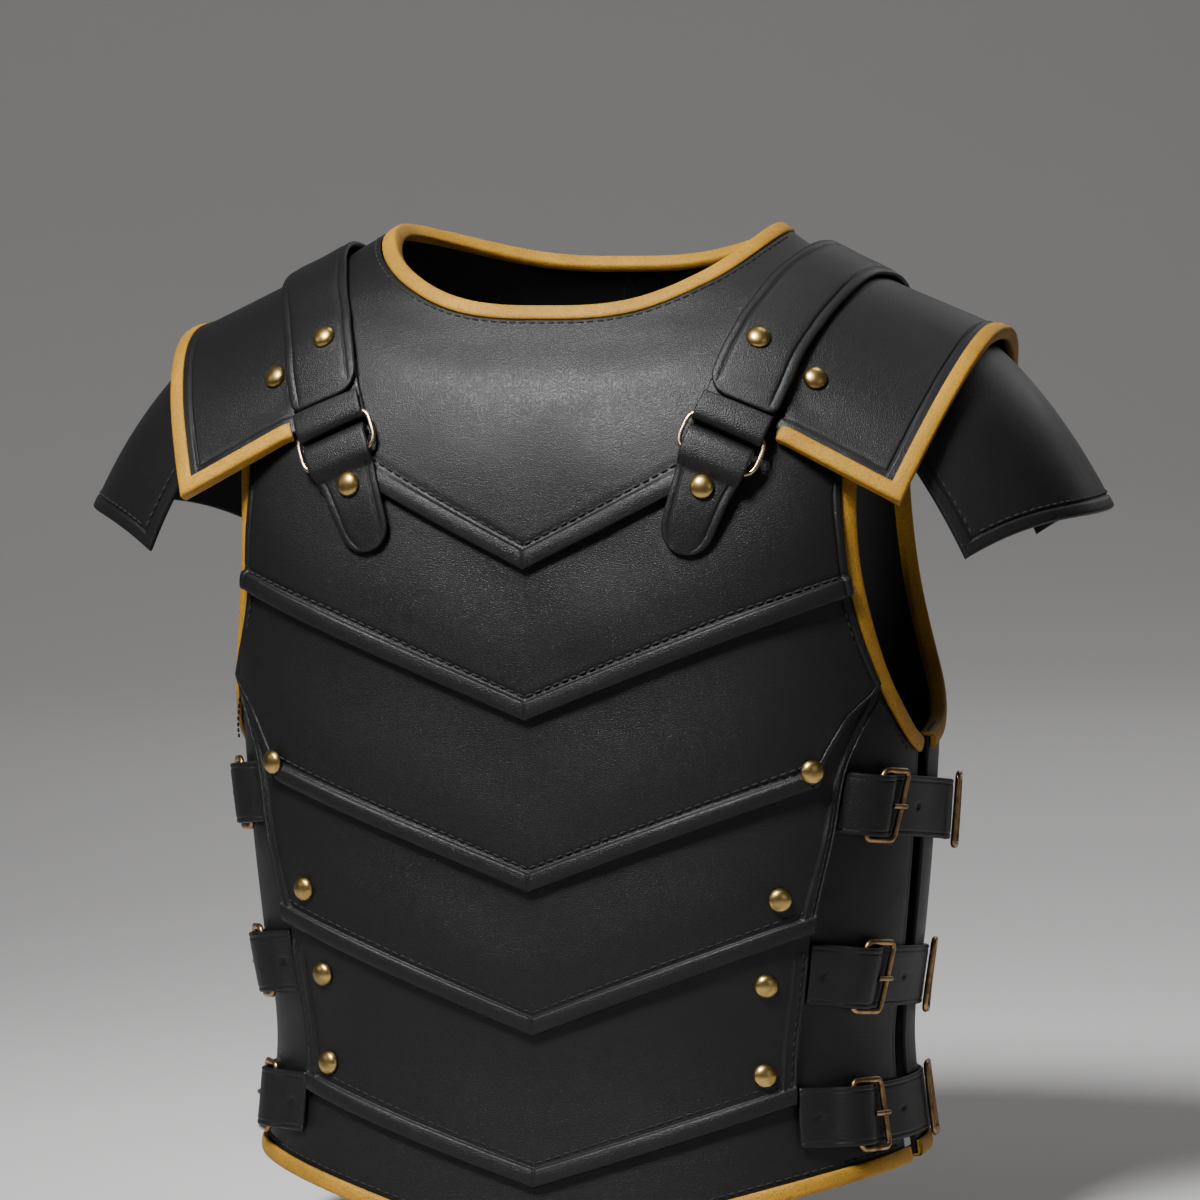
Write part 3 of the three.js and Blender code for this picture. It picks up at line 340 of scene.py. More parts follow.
def measured(path, zero_at, steps=480):
    """Turns a length along a curve, from the fraction zero_at, into the curve's fraction."""
    shares = np.linspace(0, 1, steps + 1)
    lengths = length_along(section(*path(shares)))
    zero = np.interp(zero_at, shares, lengths)
    return lambda s: np.interp(np.asarray(s, float) + zero, lengths, shares)


def neck_height(angle):
    """Neckline: a drop times one less a power of the sine of the angle."""
    s = np.abs(np.sin(np.radians(angle)))
    drop = np.where(np.cos(np.radians(angle)) >= 0, NECK_FRONT_DROP, NECK_BACK_DROP)
    return -drop * (1 - s**NECK_POWER)


def hem_height(angle):
    """Front hem: it rises from its point by one less a power of the share of width left."""
    x = np.minimum(HEM_REACH, np.abs(section(angle, -470)[..., 0]))
    return HEM_APEX + HEM_RISE * (1 - (1 - x / HEM_REACH) ** HEM_POWER)


def chevron_height(index, angle):
    """Lower edge of a lame: it climbs from its point in proportion to the width."""
    apex, slope = CHEVRONS[index]
    return apex + slope * np.abs(section(angle, apex + 30)[..., 0])


def neck_path(t):
    angle = np.asarray(t, float) * 360
    return angle, neck_height(angle)


def armhole_front(t):
    return curve_at(ARMHOLE_FRONT, t)


def armhole_back(t):
    return curve_at(ARMHOLE_BACK, t)


def strap_path(t):
    return curve_at(STRAP_LINE, t)


def front_hem(t):
    angle = mix(-FRONT_EDGE_ANGLE, FRONT_EDGE_ANGLE, np.asarray(t, float))
    return angle, hem_height(angle)


def back_hem(t):
    t = np.asarray(t, float)
    return mix(BACK_EDGE_ANGLE, 360 - BACK_EDGE_ANGLE, t), BACK_HEM + 0 * t


def beside_armhole(path, t, side, distance):
    """Beside an armhole; at its first point the distance runs down the shoulder's ridge."""
    t, distance = together(t, distance)
    angle, z = beside(path, t, side, distance)
    ridge_angle, ridge_z = path(np.zeros_like(t))
    ridge_z = ridge_z + distance * form_normal(ridge_angle, ridge_z)[..., 0]
    return np.where(t > 0, angle, ridge_angle), np.where(t > 0, z, ridge_z)


stack_rows = np.array(STACK_EDGE[::-1], float)


def stack_angle(z):
    return table_value(stack_rows[:, 1], stack_rows[:, 0], np.clip(z, -428, -222))


armhole_marks = np.linspace(0.1, 1, 400)
armhole_inner = beside(armhole_front, armhole_marks, -1, np.full(400, float(LAME_INSET)))


def armhole_angle(z):
    """Angle of the armhole's inner side at a height."""
    falling = armhole_inner[1][::-1]
    return np.interp(z, falling, armhole_inner[0][::-1])


strap_measure = measured(strap_path, STRAP_RIDGE_ROW / (len(STRAP_LINE) - 1))


def eased(points, reach):
    """Points averaged with their neighbours by a bell curve; the ends are carried on straight."""
    count = int(3 * reach)
    bell = np.exp(-0.5 * (np.arange(-count, count + 1) / reach) ** 2)
    before = 2 * points[:1] - points[count:0:-1]
    after = 2 * points[-1:] - points[-2:-count - 2:-1]
    longer = np.concatenate([before, points, after])
    return np.stack([np.convolve(longer[:, k], bell / bell.sum(), "valid") for k in range(3)], -1)


def strap_rows():
    """Shoulder strap's middle line each 2 mm: place on the form, direction inwards, and the
    sideways shift that takes the drawn line's small waves out."""
    s = np.arange(-132, 233, 2.0)
    drawn = section(*strap_path(strap_measure(s)))
    even = eased(drawn, 12)
    inwards = -unit(np.cross(form_normal(*address(drawn)), unit(np.gradient(even, axis=0))))
    return s, drawn, inwards, ((even - drawn) * inwards).sum(-1)


STRAP_ROWS = strap_rows()


def strap_point(s, w):
    """Point at a length from the ridge and a distance inwards, in the strap's middle plane."""
    s, w = together(s, w)
    at, drawn, inwards, shift = STRAP_ROWS
    spread = [np.interp(s, at, values[:, k]) for values in (drawn, inwards) for k in range(3)]
    centre = np.stack(spread[:3], -1)
    across = unit(np.stack(spread[3:], -1))
    return centre + across * (w + np.interp(s, at, shift))[..., None]


def on_strap(s, w, lift):
    """Place on a shoulder strap: the point's foot on the form, and the lift from there."""
    s, w, lift = together(s, w, lift)
    point = strap_point(s, w)
    for _ in range(5):
        angle, z = address(point)
        normal = form_normal(angle, z)
        above = ((point - section(angle, z)) * normal).sum(-1, keepdims=True)
        point = point - normal * above
    return on_form(*address(point), lift)


def beside_strap(s, w, lift):
    """Place beside a shoulder strap at the height of its middle plane."""
    s, w, lift = together(s, w, lift)
    return on_form(*address(strap_point(s, w)), lift)


# ---- shapes -------------------------------------------------------------------


def marks(length, step, fine, places=(), ends=(True, True), reach=3.2):
    """Shares of a length: about a step apart, and a fine step apart near its real ends and
    near the given places, which are distances in mm."""
    spots = [0.0] * ends[0] + [float(length)] * ends[1] + [float(p) for p in places]
    plain = np.linspace(0, length, max(2, int(np.ceil(length / step)) + 1))
    extra = [plain]
    for spot in spots:
        near = np.concatenate([[0, 0.12, 0.35, 0.7], np.arange(1, reach / fine + 1) * fine])
        extra += [spot + near, spot - near]
    every = np.unique(np.round(np.clip(np.concatenate(extra), 0, length), 3))
    kept = [every[0]]
    for value in every[1:-1]:
        if value - kept[-1] >= 0.1:
            kept.append(value)
    return np.array([*kept, every[-1]]) / length


def both_ways(shares):
    """The same shares on both sides of the middle, from -1 to 1."""
    return np.concatenate([-shares[:0:-1], shares])


def edge_lengths(middle):
    """Lengths along the grid from its first row, last row, first column and last column."""
    rows = length_along(middle)
    columns = length_along(middle, axis=1)
    return rows, rows[-1] - rows, columns, columns[:, -1:] - columns


def quarter_round(distance, radius):
    """Height of a quarter circle that starts at an edge."""
    return np.sqrt(np.clip(1 - (1 - np.clip(distance / radius, 0, 1)) ** 2, 0, 1))


def grid_normals(middle, outward):
    """Normals of a grid from the differences of its points, on the side of the outward hint."""
    normal = unit(np.cross(np.gradient(middle, axis=0), np.gradient(middle, axis=1)))
    return normal * np.sign((normal * outward).sum())


def away_from_body(middle):
    """Direction out from the vertical axis at each point."""
    return middle * np.array([1.0, 1.0, 0.0])


class Shape:
    """Points in mm and faces, which pieces are put together from."""

    def __init__(self, points, faces):
        self.points = np.asarray(points, float).reshape(-1, 3)
        self.faces = faces

    def joined(self, *others):
        points = [self.points]
        faces = list(self.faces)
        count = len(self.points)
        for other in others:
            points.append(other.points)
            faces += [face + count for face in other.faces]
            count += len(other.points)
        return Shape(np.concatenate(points), faces)

    def mirrored(self):
        return Shape(self.points * [-1, 1, 1], [face[:, ::-1] for face in self.faces])


def grid_faces(rows, columns, loop_rows=False, loop_columns=False):
    """Quads between neighbouring points of a grid."""
    number = np.arange(rows * columns).reshape(rows, columns)
    if loop_rows:
        number = np.concatenate([number, number[:1]])
    if loop_columns:
        number = np.concatenate([number, number[:, :1]], axis=1)
    quads = np.stack([number[:-1, :-1], number[:-1, 1:], number[1:, 1:], number[1:, :-1]], -1)
    return quads.reshape(-1, 4)


def shell(outer, inner):
    """Two grids of the same size as the outer and inner faces of one piece; they meet at the
    edges, where their points fall together."""
    rows, columns = outer.shape[:2]
    quads = grid_faces(rows, columns)
    return Shape(np.stack([outer, inner]), [quads, quads[:, ::-1] + rows * columns])


def leather(middle, thickness, relief, outward=None):
    """A sheet of leather as a closed shell: its outer and inner faces stand half the thickness
    from the middle points along their normal, the outer one with the relief added, and both
    fall together at the edges along a quarter circle."""
    normal = grid_normals(middle, away_from_body(middle) if outward is None else outward)
    edge = 1.0
    for distance in edge_lengths(middle):
        edge = edge * quarter_round(distance, thickness / 2)
    outer = middle + normal * ((thickness / 2 + relief) * edge)[..., None]
    inner = middle - normal * (thickness / 2 * edge)[..., None]
    on_centre = np.abs(middle[..., 0]) < ON_CENTRE
    outer[on_centre, 0] = 0
    inner[on_centre, 0] = 0
    return shell(outer, inner)


def swept(stations, loop=False):
    """A closed outline carried along its stations, with flat ends unless it is a loop."""
    count, sides = stations.shape[:2]
    faces = [grid_faces(count, sides, loop_rows=loop, loop_columns=True)]
    if not loop:
        last = np.arange((count - 1) * sides, count * sides)
        faces += [np.arange(sides)[None, :], last[None, ::-1]]
    return Shape(stations, faces)


def rod(centre, up, radius, sides=10, loop=False, flat=1.0):
    """A round rod along centre points; the up vectors steady its section."""
    if loop:
        tangent = np.roll(centre, -1, 0) - np.roll(centre, 1, 0)
    else:
        tangent = np.gradient(centre, axis=0)
    side = unit(np.cross(unit(tangent), up))
    rise = unit(np.cross(side, unit(tangent)))
    turn = np.linspace(0, 2 * np.pi, sides, endpoint=False)[None, :, None]
    out = np.cos(turn) * side[:, None] + flat * np.sin(turn) * rise[:, None]
    reach = np.broadcast_to(np.asarray(radius, float), len(centre))[:, None, None]
    return swept(centre[:, None] + reach * out, loop)


def no_relief(s, w, from_side, from_end):
    return 0.0


def strip(stations, half_width, thickness, place, widths, relief=no_relief, shift=None):
    """A strap through (length, lift) stations: a cubic through them gives the middle line, its
    own normal gives the thickness, and the sides and ends are rounded."""
    chord = length_along(stations)
    along = marks(chord[-1], 2.4, 0.8, reach=1.6) * chord[-1]
    line = np.stack([table_value(chord, stations[:, k], along) for k in (0, 1)], -1)
    tangent = unit(np.gradient(line, axis=0))
    normal = np.stack([-tangent[:, 1], tangent[:, 0]], -1)
    half = half_width(line[:, 0]) if callable(half_width) else half_width + 0 * along
    w = widths[None, :] * half[:, None]
    s = line[:, :1] + (0 if shift is None else shift(line[:, :1], widths[None, :]))
    from_side = (1 - np.abs(widths[None, :])) * half[:, None]
    from_end = np.minimum(along, along[-1] - along)[:, None] + 0 * w
    edge = quarter_round(from_side, thickness / 2) * quarter_round(from_end, thickness / 2)
    raised = relief(s, w, from_side, from_end)
    faces = []
    for off in ((thickness / 2 + raised) * edge, -thickness / 2 * edge):
        faces.append(place(s + normal[:, :1] * off, -w, line[:, 1:] + normal[:, 1:] * off))
    return shell(*faces)


def groove(distance, at, depth=CREASE_DEPTH, width=CREASE_WIDTH):
    """A crease along a line at a distance, shaped as a bell curve."""
    return -depth * np.exp(-(((distance - at) / width) ** 2))


def rolled_edge(distance, width, height, dome):
    """A rolled edge: a flat-topped rise that ends with a short slope, slightly domed."""
    return (height * smooth((width - distance) / 1.1)
            + dome * np.sin(np.pi * np.clip(distance / width, 0, 1)))


# ---- objects ------------------------------------------------------------------


def in_scene(name, data):
    made = bpy.data.objects.new(name, data)
    bpy.context.scene.collection.objects.link(made)
    return made


def object_from(name, shape, material, nodes=(), merge=True):
    """A mesh object in metres from a shape in mm, with doubles merged and faces outward; it
    rides the body and takes the place of the given nodes."""
    mesh = bpy.data.meshes.new(name)
    faces = [face for group in shape.faces for face in group.tolist()]
    mesh.from_pydata((shape.points * MM).tolist(), [], faces)
    if merge:
        work = bmesh.new()
        work.from_mesh(mesh)
        bmesh.ops.remove_doubles(work, verts=work.verts, dist=2e-6)
        bmesh.ops.dissolve_degenerate(work, dist=1e-7, edges=work.edges)
        if work.calc_volume(signed=True) < 0:
            bmesh.ops.reverse_faces(work, faces=work.faces)
        work.to_mesh(mesh)
        work.free()
    mesh.validate()
    mesh.shade_smooth()
    piece = in_scene(name, mesh)
    mesh.materials.append(material)
    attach(piece, "root")
    if nodes:
        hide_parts(*nodes)
    return piece


def grid_cut(middle):
    """Flat (width, length) and area of a grid of points, in metres."""
    rows, _, columns, _ = edge_lengths(middle)
    a, b, c, d = middle[:-1, :-1], middle[1:, :-1], middle[1:, 1:], middle[:-1, 1:]
    area = np.linalg.norm(np.cross(c - a, d - b), axis=-1).sum() / 2
    width = rows[-1].max() * MM
    length = columns[:, -1].max() * MM
    return (width, length), min(area * MM * MM, width * length)


def strip_cut(width, stations):
    """Flat (width, length) and area of a strap through its stations, in metres."""
    length = float(length_along(stations)[-1])
    return (width * MM, length * MM), width * length * MM * MM


def pair(name, shape, material, node=None, cut=None):
    """The same piece on both sides, +X being the wearer's left; the cut is not used."""
    for side, half in (("left", shape), ("right", shape.mirrored())):
        piece = object_from(f"{name}_{side}", half, material, [f"{node}_{side}"] if node else ())


# ---- finishes -----------------------------------------------------------------


class Finish:
    """Builds one material; node() makes any node from its settings and its sockets' values."""

    def __init__(self, name):
        self.material = bpy.data.materials.new(name)
        self.material.use_nodes = True
        self.tree = self.material.node_tree
        self.tree.nodes.clear()
        self.place = self.node("ShaderNodeTexCoord").outputs["Object"]

    def node(self, kind, settings=None, **sockets):
        made = self.tree.nodes.new(kind)
        for key, value in (settings or {}).items():
            setattr(made, key, value)
        for key, value in sockets.items():
            socket = made.inputs[int(key[1:])] if key[0] == "_" else made.inputs[key.replace("_", " ")]
            if isinstance(value, Number):
                value = value.socket
            if isinstance(value, bpy.types.NodeSocket):
                self.tree.links.new(value, socket)
            else:
                socket.default_value = value
        return made

    def noise(self, size, detail=3.0, rough=0.5):
        """Noise whose grains are about the given size in metres."""
        made = self.node("ShaderNodeTexNoise", Vector=self.place, Scale=1 / size, Detail=detail,
                         Roughness=rough)
        return Number(self, made.outputs["Fac"])

    def cells(self, size):
        """Distance from the edges of irregular cells about the given size in metres."""
        made = self.node("ShaderNodeTexVoronoi", {"feature": "DISTANCE_TO_EDGE"}, Vector=self.place,
                         Scale=1 / size)
        return Number(self, made.outputs["Distance"])

    def colour_mix(self, factor, a, b):
        return self.node("ShaderNodeMix", {"data_type": "RGBA"}, _0=factor, _6=a, _7=b).outputs[2]

    def bump(self, height, distance):
        made = self.node("ShaderNodeBump", Height=height, Distance=distance, Strength=1.0)
        return made.outputs["Normal"]

    def finish(self, **sockets):
        shader = self.node("ShaderNodeBsdfPrincipled", **sockets)
        self.node("ShaderNodeOutputMaterial", Surface=shader.outputs["BSDF"])
        return self.material


class Number:
    """A value socket that adds a Math node for each sum written with it."""

    def __init__(self, finish, socket):
        self.finish = finish
        self.socket = socket

    def math(self, operation, a, b):
        made = self.finish.node("ShaderNodeMath", {"operation": operation}, _0=a, _1=b)
        return Number(self.finish, made.outputs[0])

    def __add__(self, other):
        return self.math("ADD", self, other)

    __radd__ = __add__

    def __mul__(self, other):
        return self.math("MULTIPLY", self, other)

    __rmul__ = __mul__

    def __sub__(self, other):
        return self.math("SUBTRACT", self, other)

    def __rsub__(self, other):
        return self.math("SUBTRACT", other, self)

    def __truediv__(self, other):
        return self.math("DIVIDE", self, other)

    def between(self, low, high):
        """0 below low, 1 above high, with level ends."""
        made = self.finish.node("ShaderNodeMapRange", {"interpolation_type": "SMOOTHSTEP"},
                                Value=self, From_Min=low, From_Max=high)
        return Number(self.finish, made.outputs[0])


def rgba(colour, k=1.0):
    return (colour[0] * k, colour[1] * k, colour[2] * k, 1.0)


def leather_finish(name, colour, looks, grain_depth, speckle=0.0, rough=(0.42, 0.56)):
    """Grained leather: cells and noise raise the grain, broad noise mottles colour and gloss."""
    f = Finish(name)
    cells = f.cells(looks.grain_size)
    fine = f.noise(looks.grain_size * 0.45, 2.0)
    broad = f.noise(0.045, 4.0, 0.6)
    creased = f.noise(0.006, 3.0) * 0.5 + f.noise(0.02, 5.0, 0.6) * 1.6
    grain = cells.between(0.02, 0.32) * 0.6 + fine * 0.5 + creased
    mottle = broad.between(0.3, 0.72)
    base = f.colour_mix(mottle, rgba(colour, 0.8), rgba(colour, 1.22))
    if speckle:
        spots = f.noise(looks.grain_size * 1.1, 1.0).between(0.46, 0.68)
        base = f.colour_mix(spots * speckle, base, rgba(colour, 0.45))
    roughness = mix(rough[0], rough[1], 1.0 - mottle * 0.7) + fine * 0.05
    return f.finish(Base_Color=base, Roughness=roughness, Specular_IOR_Level=0.3,
                    Normal=f.bump(grain, grain_depth))


def brass_finish(name, colour, tarnish, rough):
    """Brass with darker tarnish in broad soft patches."""
    f = Finish(name)
    patches = f.noise(0.006, 4.0, 0.6).between(0.35, 0.75)
    base = f.colour_mix(patches, rgba(colour), rgba(tarnish))
    return f.finish(Base_Color=base, Metallic=1.0, Roughness=patches * 0.12 + rough,
                    Normal=f.bump(f.noise(0.0009), 0.00003))


def matt_finish(name, colour, rough, fibre=None):
    """A plain matt colour, with fine unevenness where a fibre size is given."""
    f = Finish(name)
    if fibre:
        return f.finish(Base_Color=rgba(colour), Roughness=rough,
                        Normal=f.bump(f.noise(fibre), fibre / 5))
    return f.finish(Base_Color=rgba(colour), Roughness=rough)


# Colour (none where it is the user's), tarnish and roughness.
BRASSES = {
    "antique_brass": (None, (0.17, 0.11, 0.04), 0.28),
    "brown_brass": ((0.40, 0.25, 0.12), (0.13, 0.075, 0.035), 0.3),
    "pale_brass": ((0.62, 0.47, 0.31), (0.30, 0.20, 0.12), 0.24),
}


def finish_for(kind):
    """The material of a kind, made when it is first asked for."""
    looks = bpy.context.scene.cuirass_looks
    ready = bpy.data.materials.get(kind)
    if ready:
        return ready
    if kind == "black_leather":
        return leather_finish(kind, looks.leather, looks, 0.00013, rough=(0.36, 0.48))
    if kind == "ochre_leather":
        return leather_finish(kind, looks.binding, looks, 0.00014, speckle=0.5, rough=(0.5, 0.62))
    if kind in BRASSES:
        colour, tarnish, rough = BRASSES[kind]
        return brass_finish(kind, colour or looks.brass, tarnish, rough)
    if kind == "black_thread":
        return matt_finish(kind, (0.003, 0.003, 0.0032), 0.85, fibre=0.0004)
    return matt_finish(kind, (0.56, 0.55, 0.545), 0.9)


# ---- plates -------------------------------------------------------------------


def plate_middle(plan, columns, low_marks, high_marks):
    """Half a plate's middle points. Rows rise from the hem until one runs from the neckline's
    centre down to the armhole's foot, falling by one less a power of what is left of its
    length; then their ends climb the neckline and the armhole to the shoulder's ridge."""
    u = columns[None, :]
    rise = 1 - (1 - u) ** 2.6
    neck_angle, neck_z = plan["neck"](high_marks)
    foot_z = plan["armhole"](np.ones(1))[1][0]
    low = low_marks[:-1, None]
    angle = mix(plan["centre"], plan["edge"], u) + 0 * low
    high = mix(neck_z[0], foot_z, rise)
    z = mix(plan["hem"](angle), high, low)
    t = high_marks[:, None]
    end_angle, end_z = plan["armhole"](1 - high_marks)
    upper_angle = mix(neck_angle[:, None], end_angle[:, None], u)
    upper_z = mix(neck_z[:, None], end_z[:, None], rise * (1 - t) + u * t)
    angle = np.concatenate([angle, upper_angle])
    z = np.concatenate([z, upper_z])
    middle = on_form(angle, z, BODY / 2 + 0 * angle)
    middle[: len(low), 0, 0] = 0
    return middle


def front_neck(t):
    angle, z = beside(neck_path, t * 0.25, -1, EDGE_INSET + 0 * t)
    return np.where(t == 0, 0, np.minimum(angle, 90 - RIDGE_CLEARANCE)), z


def back_neck(t):
    angle, z = beside(neck_path, 0.5 - t * 0.25, -1, EDGE_INSET + 0 * t)
    return np.where(t == 0, 180, np.maximum(angle, 90 + RIDGE_CLEARANCE)), z


def at_foot(t):
    """0 along an armhole, rising to 1 over its last part, where it becomes the plate's side."""
    return smooth((t - 0.85) / 0.15)


def front_armhole(t):
    angle, z = beside_armhole(armhole_front, t, -1, EDGE_INSET)
    return mix(np.minimum(angle, 90 - RIDGE_CLEARANCE), FRONT_EDGE_ANGLE, at_foot(t)), z


def back_armhole(t):
    angle, z = beside_armhole(armhole_back, t, 1, EDGE_INSET)
    return mix(np.maximum(angle, 90 + RIDGE_CLEARANCE), BACK_EDGE_ANGLE, at_foot(t)), z


FRONT_PLATE = {
    "centre": 0, "edge": FRONT_EDGE_ANGLE, "neck": front_neck, "armhole": front_armhole,
    "hem": lambda angle: hem_height(angle) + EDGE_INSET,
}
BACK_PLATE = {
    "centre": 180, "edge": BACK_EDGE_ANGLE, "neck": back_neck, "armhole": back_armhole,
    "hem": lambda angle: BACK_HEM + EDGE_INSET + 0 * angle,
}


def plate(plan, side_height):
    """A whole plate and its cut, from its half and the half's mirror image: the two faces stand
    half the leather's thickness from the middle points and round off at the real edges, with
    a crease beside the lower part's side."""
    columns = marks(PLATE_HALF, PLATE_STEP, FINE_STEP, ends=(False, True))
    low = marks(side_height, PLATE_STEP, FINE_STEP)
    high = marks(PLATE_RISE, RISE_STEP, FINE_STEP, ends=(False, True))
    middle = plate_middle(plan, columns, low, high)
    count = len(low) - 1
    below = np.arange(len(middle))[:, None] < count
    normal = grid_normals(middle, away_from_body(middle))
    from_hem, from_ridge, from_neck, from_side = edge_lengths(middle)
    edge = np.where(below, 1.0, quarter_round(from_neck, BODY / 2))
    for distance in (from_hem, from_ridge, from_side):
        edge = edge * quarter_round(distance, BODY / 2)
    crease = groove(from_side, 4, 0.3, 0.6) * below
    outer = middle + normal * ((BODY / 2 + crease) * edge)[..., None]
    inner = middle - normal * (BODY / 2 * edge)[..., None]
    outer[:count, 0, 0] = 0
    inner[:count, 0, 0] = 0
    half = shell(outer, inner)
    across = 2 * from_neck[: count // 2, -1].max()
    tall = np.ptp(middle[..., 2]) * OVER_THE_CURVE
    return half.joined(half.mirrored()), ((across * MM, tall * MM), 2 * grid_cut(middle)[1])


def make_plates():
    """Front and back plates of body leather."""
    black = finish_for("black_leather")
    for name, plan in (("front", FRONT_PLATE), ("back", BACK_PLATE)):
        shape, (flat, area) = plate(plan, PLATE_SIDES[name])
        piece = object_from(f"{name}_plate", shape, black, [f"{name}_panel"])


# ---- lames --------------------------------------------------------------------


def lame_side(number, z):
    """Angle of a lame's side edge at a height."""
    if number == 2:
        return armhole_angle(z)
    if number == 5:
        return stack_angle(z)
    beside_border = BESIDE_BORDER * smooth((-211 - z) / 20) if number == 3 else 0
    return np.minimum(armhole_angle(z), stack_angle(z) - beside_border)


def lame_top(number, angle):
    """Top edge of a lame: a lap above the lame over it, and higher at lame 4's corners."""
    top = np.minimum(LAME_TOP, chevron_height(number - 2, angle) + LAP)
    return top + (24 * smooth((np.abs(angle) - 54) / 8) if number == 4 else 0)


def lame_low(number, angle):
    return chevron_height(number - 1, angle)


def lame_height(number):
    return float(lame_top(number, 0.0) - lame_low(number, 0.0))


def lame_lift(number, angle, v):
    """Lift of a lame's inner face: it steps from the plate over the lame below."""
    lap = LAP / lame_height(number)
    settle = smooth((v - lap) / (1 - 2 * lap))
    low, high = (LEVEL_1 + 0.15, LEVEL_1) if number == 5 else (LEVEL_1, LEVEL_2)
    rise = 0.26 if number == 2 else 0
    return mix(low, high, settle) + rise * smooth((np.abs(angle) - 48) / 8) * (1 - settle)


def lame_address(number, u, v):
    """Angle and height at a share of a lame's half width and of its height; the width depends
    on the height, so the angle is found by repeating."""
    angle = 0 * u
    for _ in range(10):
        z = mix(lame_top(number, angle), lame_low(number, angle), v)
        angle = u * lame_side(number, z)
    return angle, mix(lame_top(number, angle), lame_low(number, angle), v)


def band_relief(from_low, x, slope):
    """Rolled lower edge, the stitched groove above it and the mitre at its point."""
    distance = from_low * np.cos(np.arctan(slope))
    width = BAND * np.cos(np.arctan(slope))
    mitre = groove(np.abs(x), 0, 0.5, 0.7) * smooth((width - distance) / 1.2)
    return (rolled_edge(distance, width, BAND_ROUND, BAND_DOME) + mitre
            + groove(distance, width + STITCH_INSET - 0.4, 0.55, 1.3))


def border_relief(from_side):
    """Side border: a low rise with a thin ridge along each of its sides."""
    ridge = 0.5 * np.exp(-(((from_side - BORDER_WIDTH + 1.2) / 0.8) ** 2))
    bead = 0.4 * np.exp(-(((from_side - 1.0) / 0.8) ** 2))
    return (0.8 * smooth((BORDER_WIDTH + 0.6 - from_side) / 1.0) + ridge + bead
            + groove(from_side, BORDER_WIDTH + 1.2, 0.45, 0.9) + groove(from_side, 2.6, 0.5, 0.6))


def ripple(middle, height=0.25):
    """Slight unevenness of hand-made leather, from waves that cross."""
    x, y, z = np.moveaxis(middle, -1, 0)
    broad = np.sin(x / 23 + z / 31 + 1.3) * np.sin(z / 17 - y / 29)
    return height * (broad + 0.5 * np.sin(x / 11 + z / 13))


def banded_rows(height):
    """Rows of a lame's grid, finer where its rolled edge and stitched groove are."""
    return marks(height, GRID_STEP, FINE_STEP, [height - BAND, height - BAND - STITCH_INSET - 0.7])[:, None]


def lame_shape(number):
    """A lame: its address on the form at each share of its width and height, lifted over the
    lame below, with the band, the side border or crease and a slight ripple as relief."""
    fine_at = [LAME_HALF - inset for inset in (BORDER_WIDTH, 1.6, 13)]
    u = both_ways(marks(LAME_HALF, GRID_STEP, FINE_STEP, fine_at))[None, :]
    v = banded_rows(lame_height(number))
    angle, z = lame_address(number, u, v)
    middle = on_form(angle, z, lame_lift(number, angle, v) + LAME / 2)
    _, from_low, first, last = edge_lengths(middle)
    side = np.minimum(first, last)
    relief = band_relief(from_low, middle[..., 0], CHEVRONS[number - 1][1])
    if number in BORDER_BEGINS:
        border = border_relief(side) * smooth((v - BORDER_BEGINS[number]) / 0.06)
        relief = np.maximum(relief, border)
    else:
        relief = relief + groove(side, ARMHOLE_CREASE)
        relief = relief + 0.35 * smooth((ARMHOLE_CREASE - side) / 0.9)
    relief = relief + ripple(middle) * smooth(side / 15) * smooth(from_low / 20)
    return leather(middle, LAME, relief), grid_cut(middle)


def bib_side(v):
    """Address along the bib's side, 1 mm outside the shoulder strap's drawn line."""
    return beside(strap_path, mix(0.315, 0.9, v), -1, 0 * v - 1)


def bib_address(share, v):
    """The bib's top follows the neckline and the ridge, its sides run under the straps and its
    lower edge is the first chevron."""
    share, v = together(share, v)
    neck_share = np.minimum(1, share / BIB_NECK_SHARE)
    top = beside(neck_path, neck_share * BIB_TOP_ANGLE / 360, -1, LAME_INSET + 0 * share)
    along = np.maximum(0, (share - BIB_NECK_SHARE) / (1 - BIB_NECK_SHARE))
    start = bib_side(np.zeros_like(v))
    end_angle = bib_side(np.ones_like(v))[0]
    here = bib_side(v)
    low = (share * end_angle, chevron_height(0, share * end_angle))
    corner = (end_angle, chevron_height(0, end_angle))
    found = []
    for k in (0, 1):
        above = mix(top[k], start[k], along)
        shift = here[k] - mix(start[k], corner[k], v)
        found.append(mix(above, low[k], v) + share**3 * shift * (1 - v**8))
    return found


def bib_lift(v):
    """Lift of the bib's inner face, from the plate up over the second lame."""
    return mix(*BIB_LEVELS, smooth((v - 0.02) / 0.34))


def bib_shape():
    """The bib: its address at each share of its width and height, rising from the plate over
    the second lame, with the same band and ripple as the lames."""
    u = both_ways(marks(BIB_HALF, GRID_STEP, FINE_STEP))[None, :]
    v = banded_rows(BIB_HEIGHT)
    angle, z = bib_address(np.abs(u), v)
    middle = on_form(np.sign(u) * angle, z, bib_lift(v) + LAME / 2 + 0 * u)
    from_top, from_low, first, last = edge_lengths(middle)
    relief = band_relief(z - chevron_height(0, angle), middle[..., 0], CHEVRONS[0][1])
    side = np.minimum(first, last)
    relief = relief + ripple(middle) * smooth(from_top / 15) * smooth(from_low / 20) * smooth(side / 10)
    return leather(middle, LAME, relief), grid_cut(middle)


def make_lames():
    """The bib and the four chevron lames below it."""
    black = finish_for("black_leather")
    made = [("bib", "lame_1_bib", bib_shape())]
    made += [(f"chevron_lame_{k}", f"lame_{k}", lame_shape(k)) for k in (2, 3, 4, 5)]
    for name, node, (shape, (flat, area)) in made:
        piece = object_from(name, shape, black, [node])


# ---- bound edges --------------------------------------------------------------


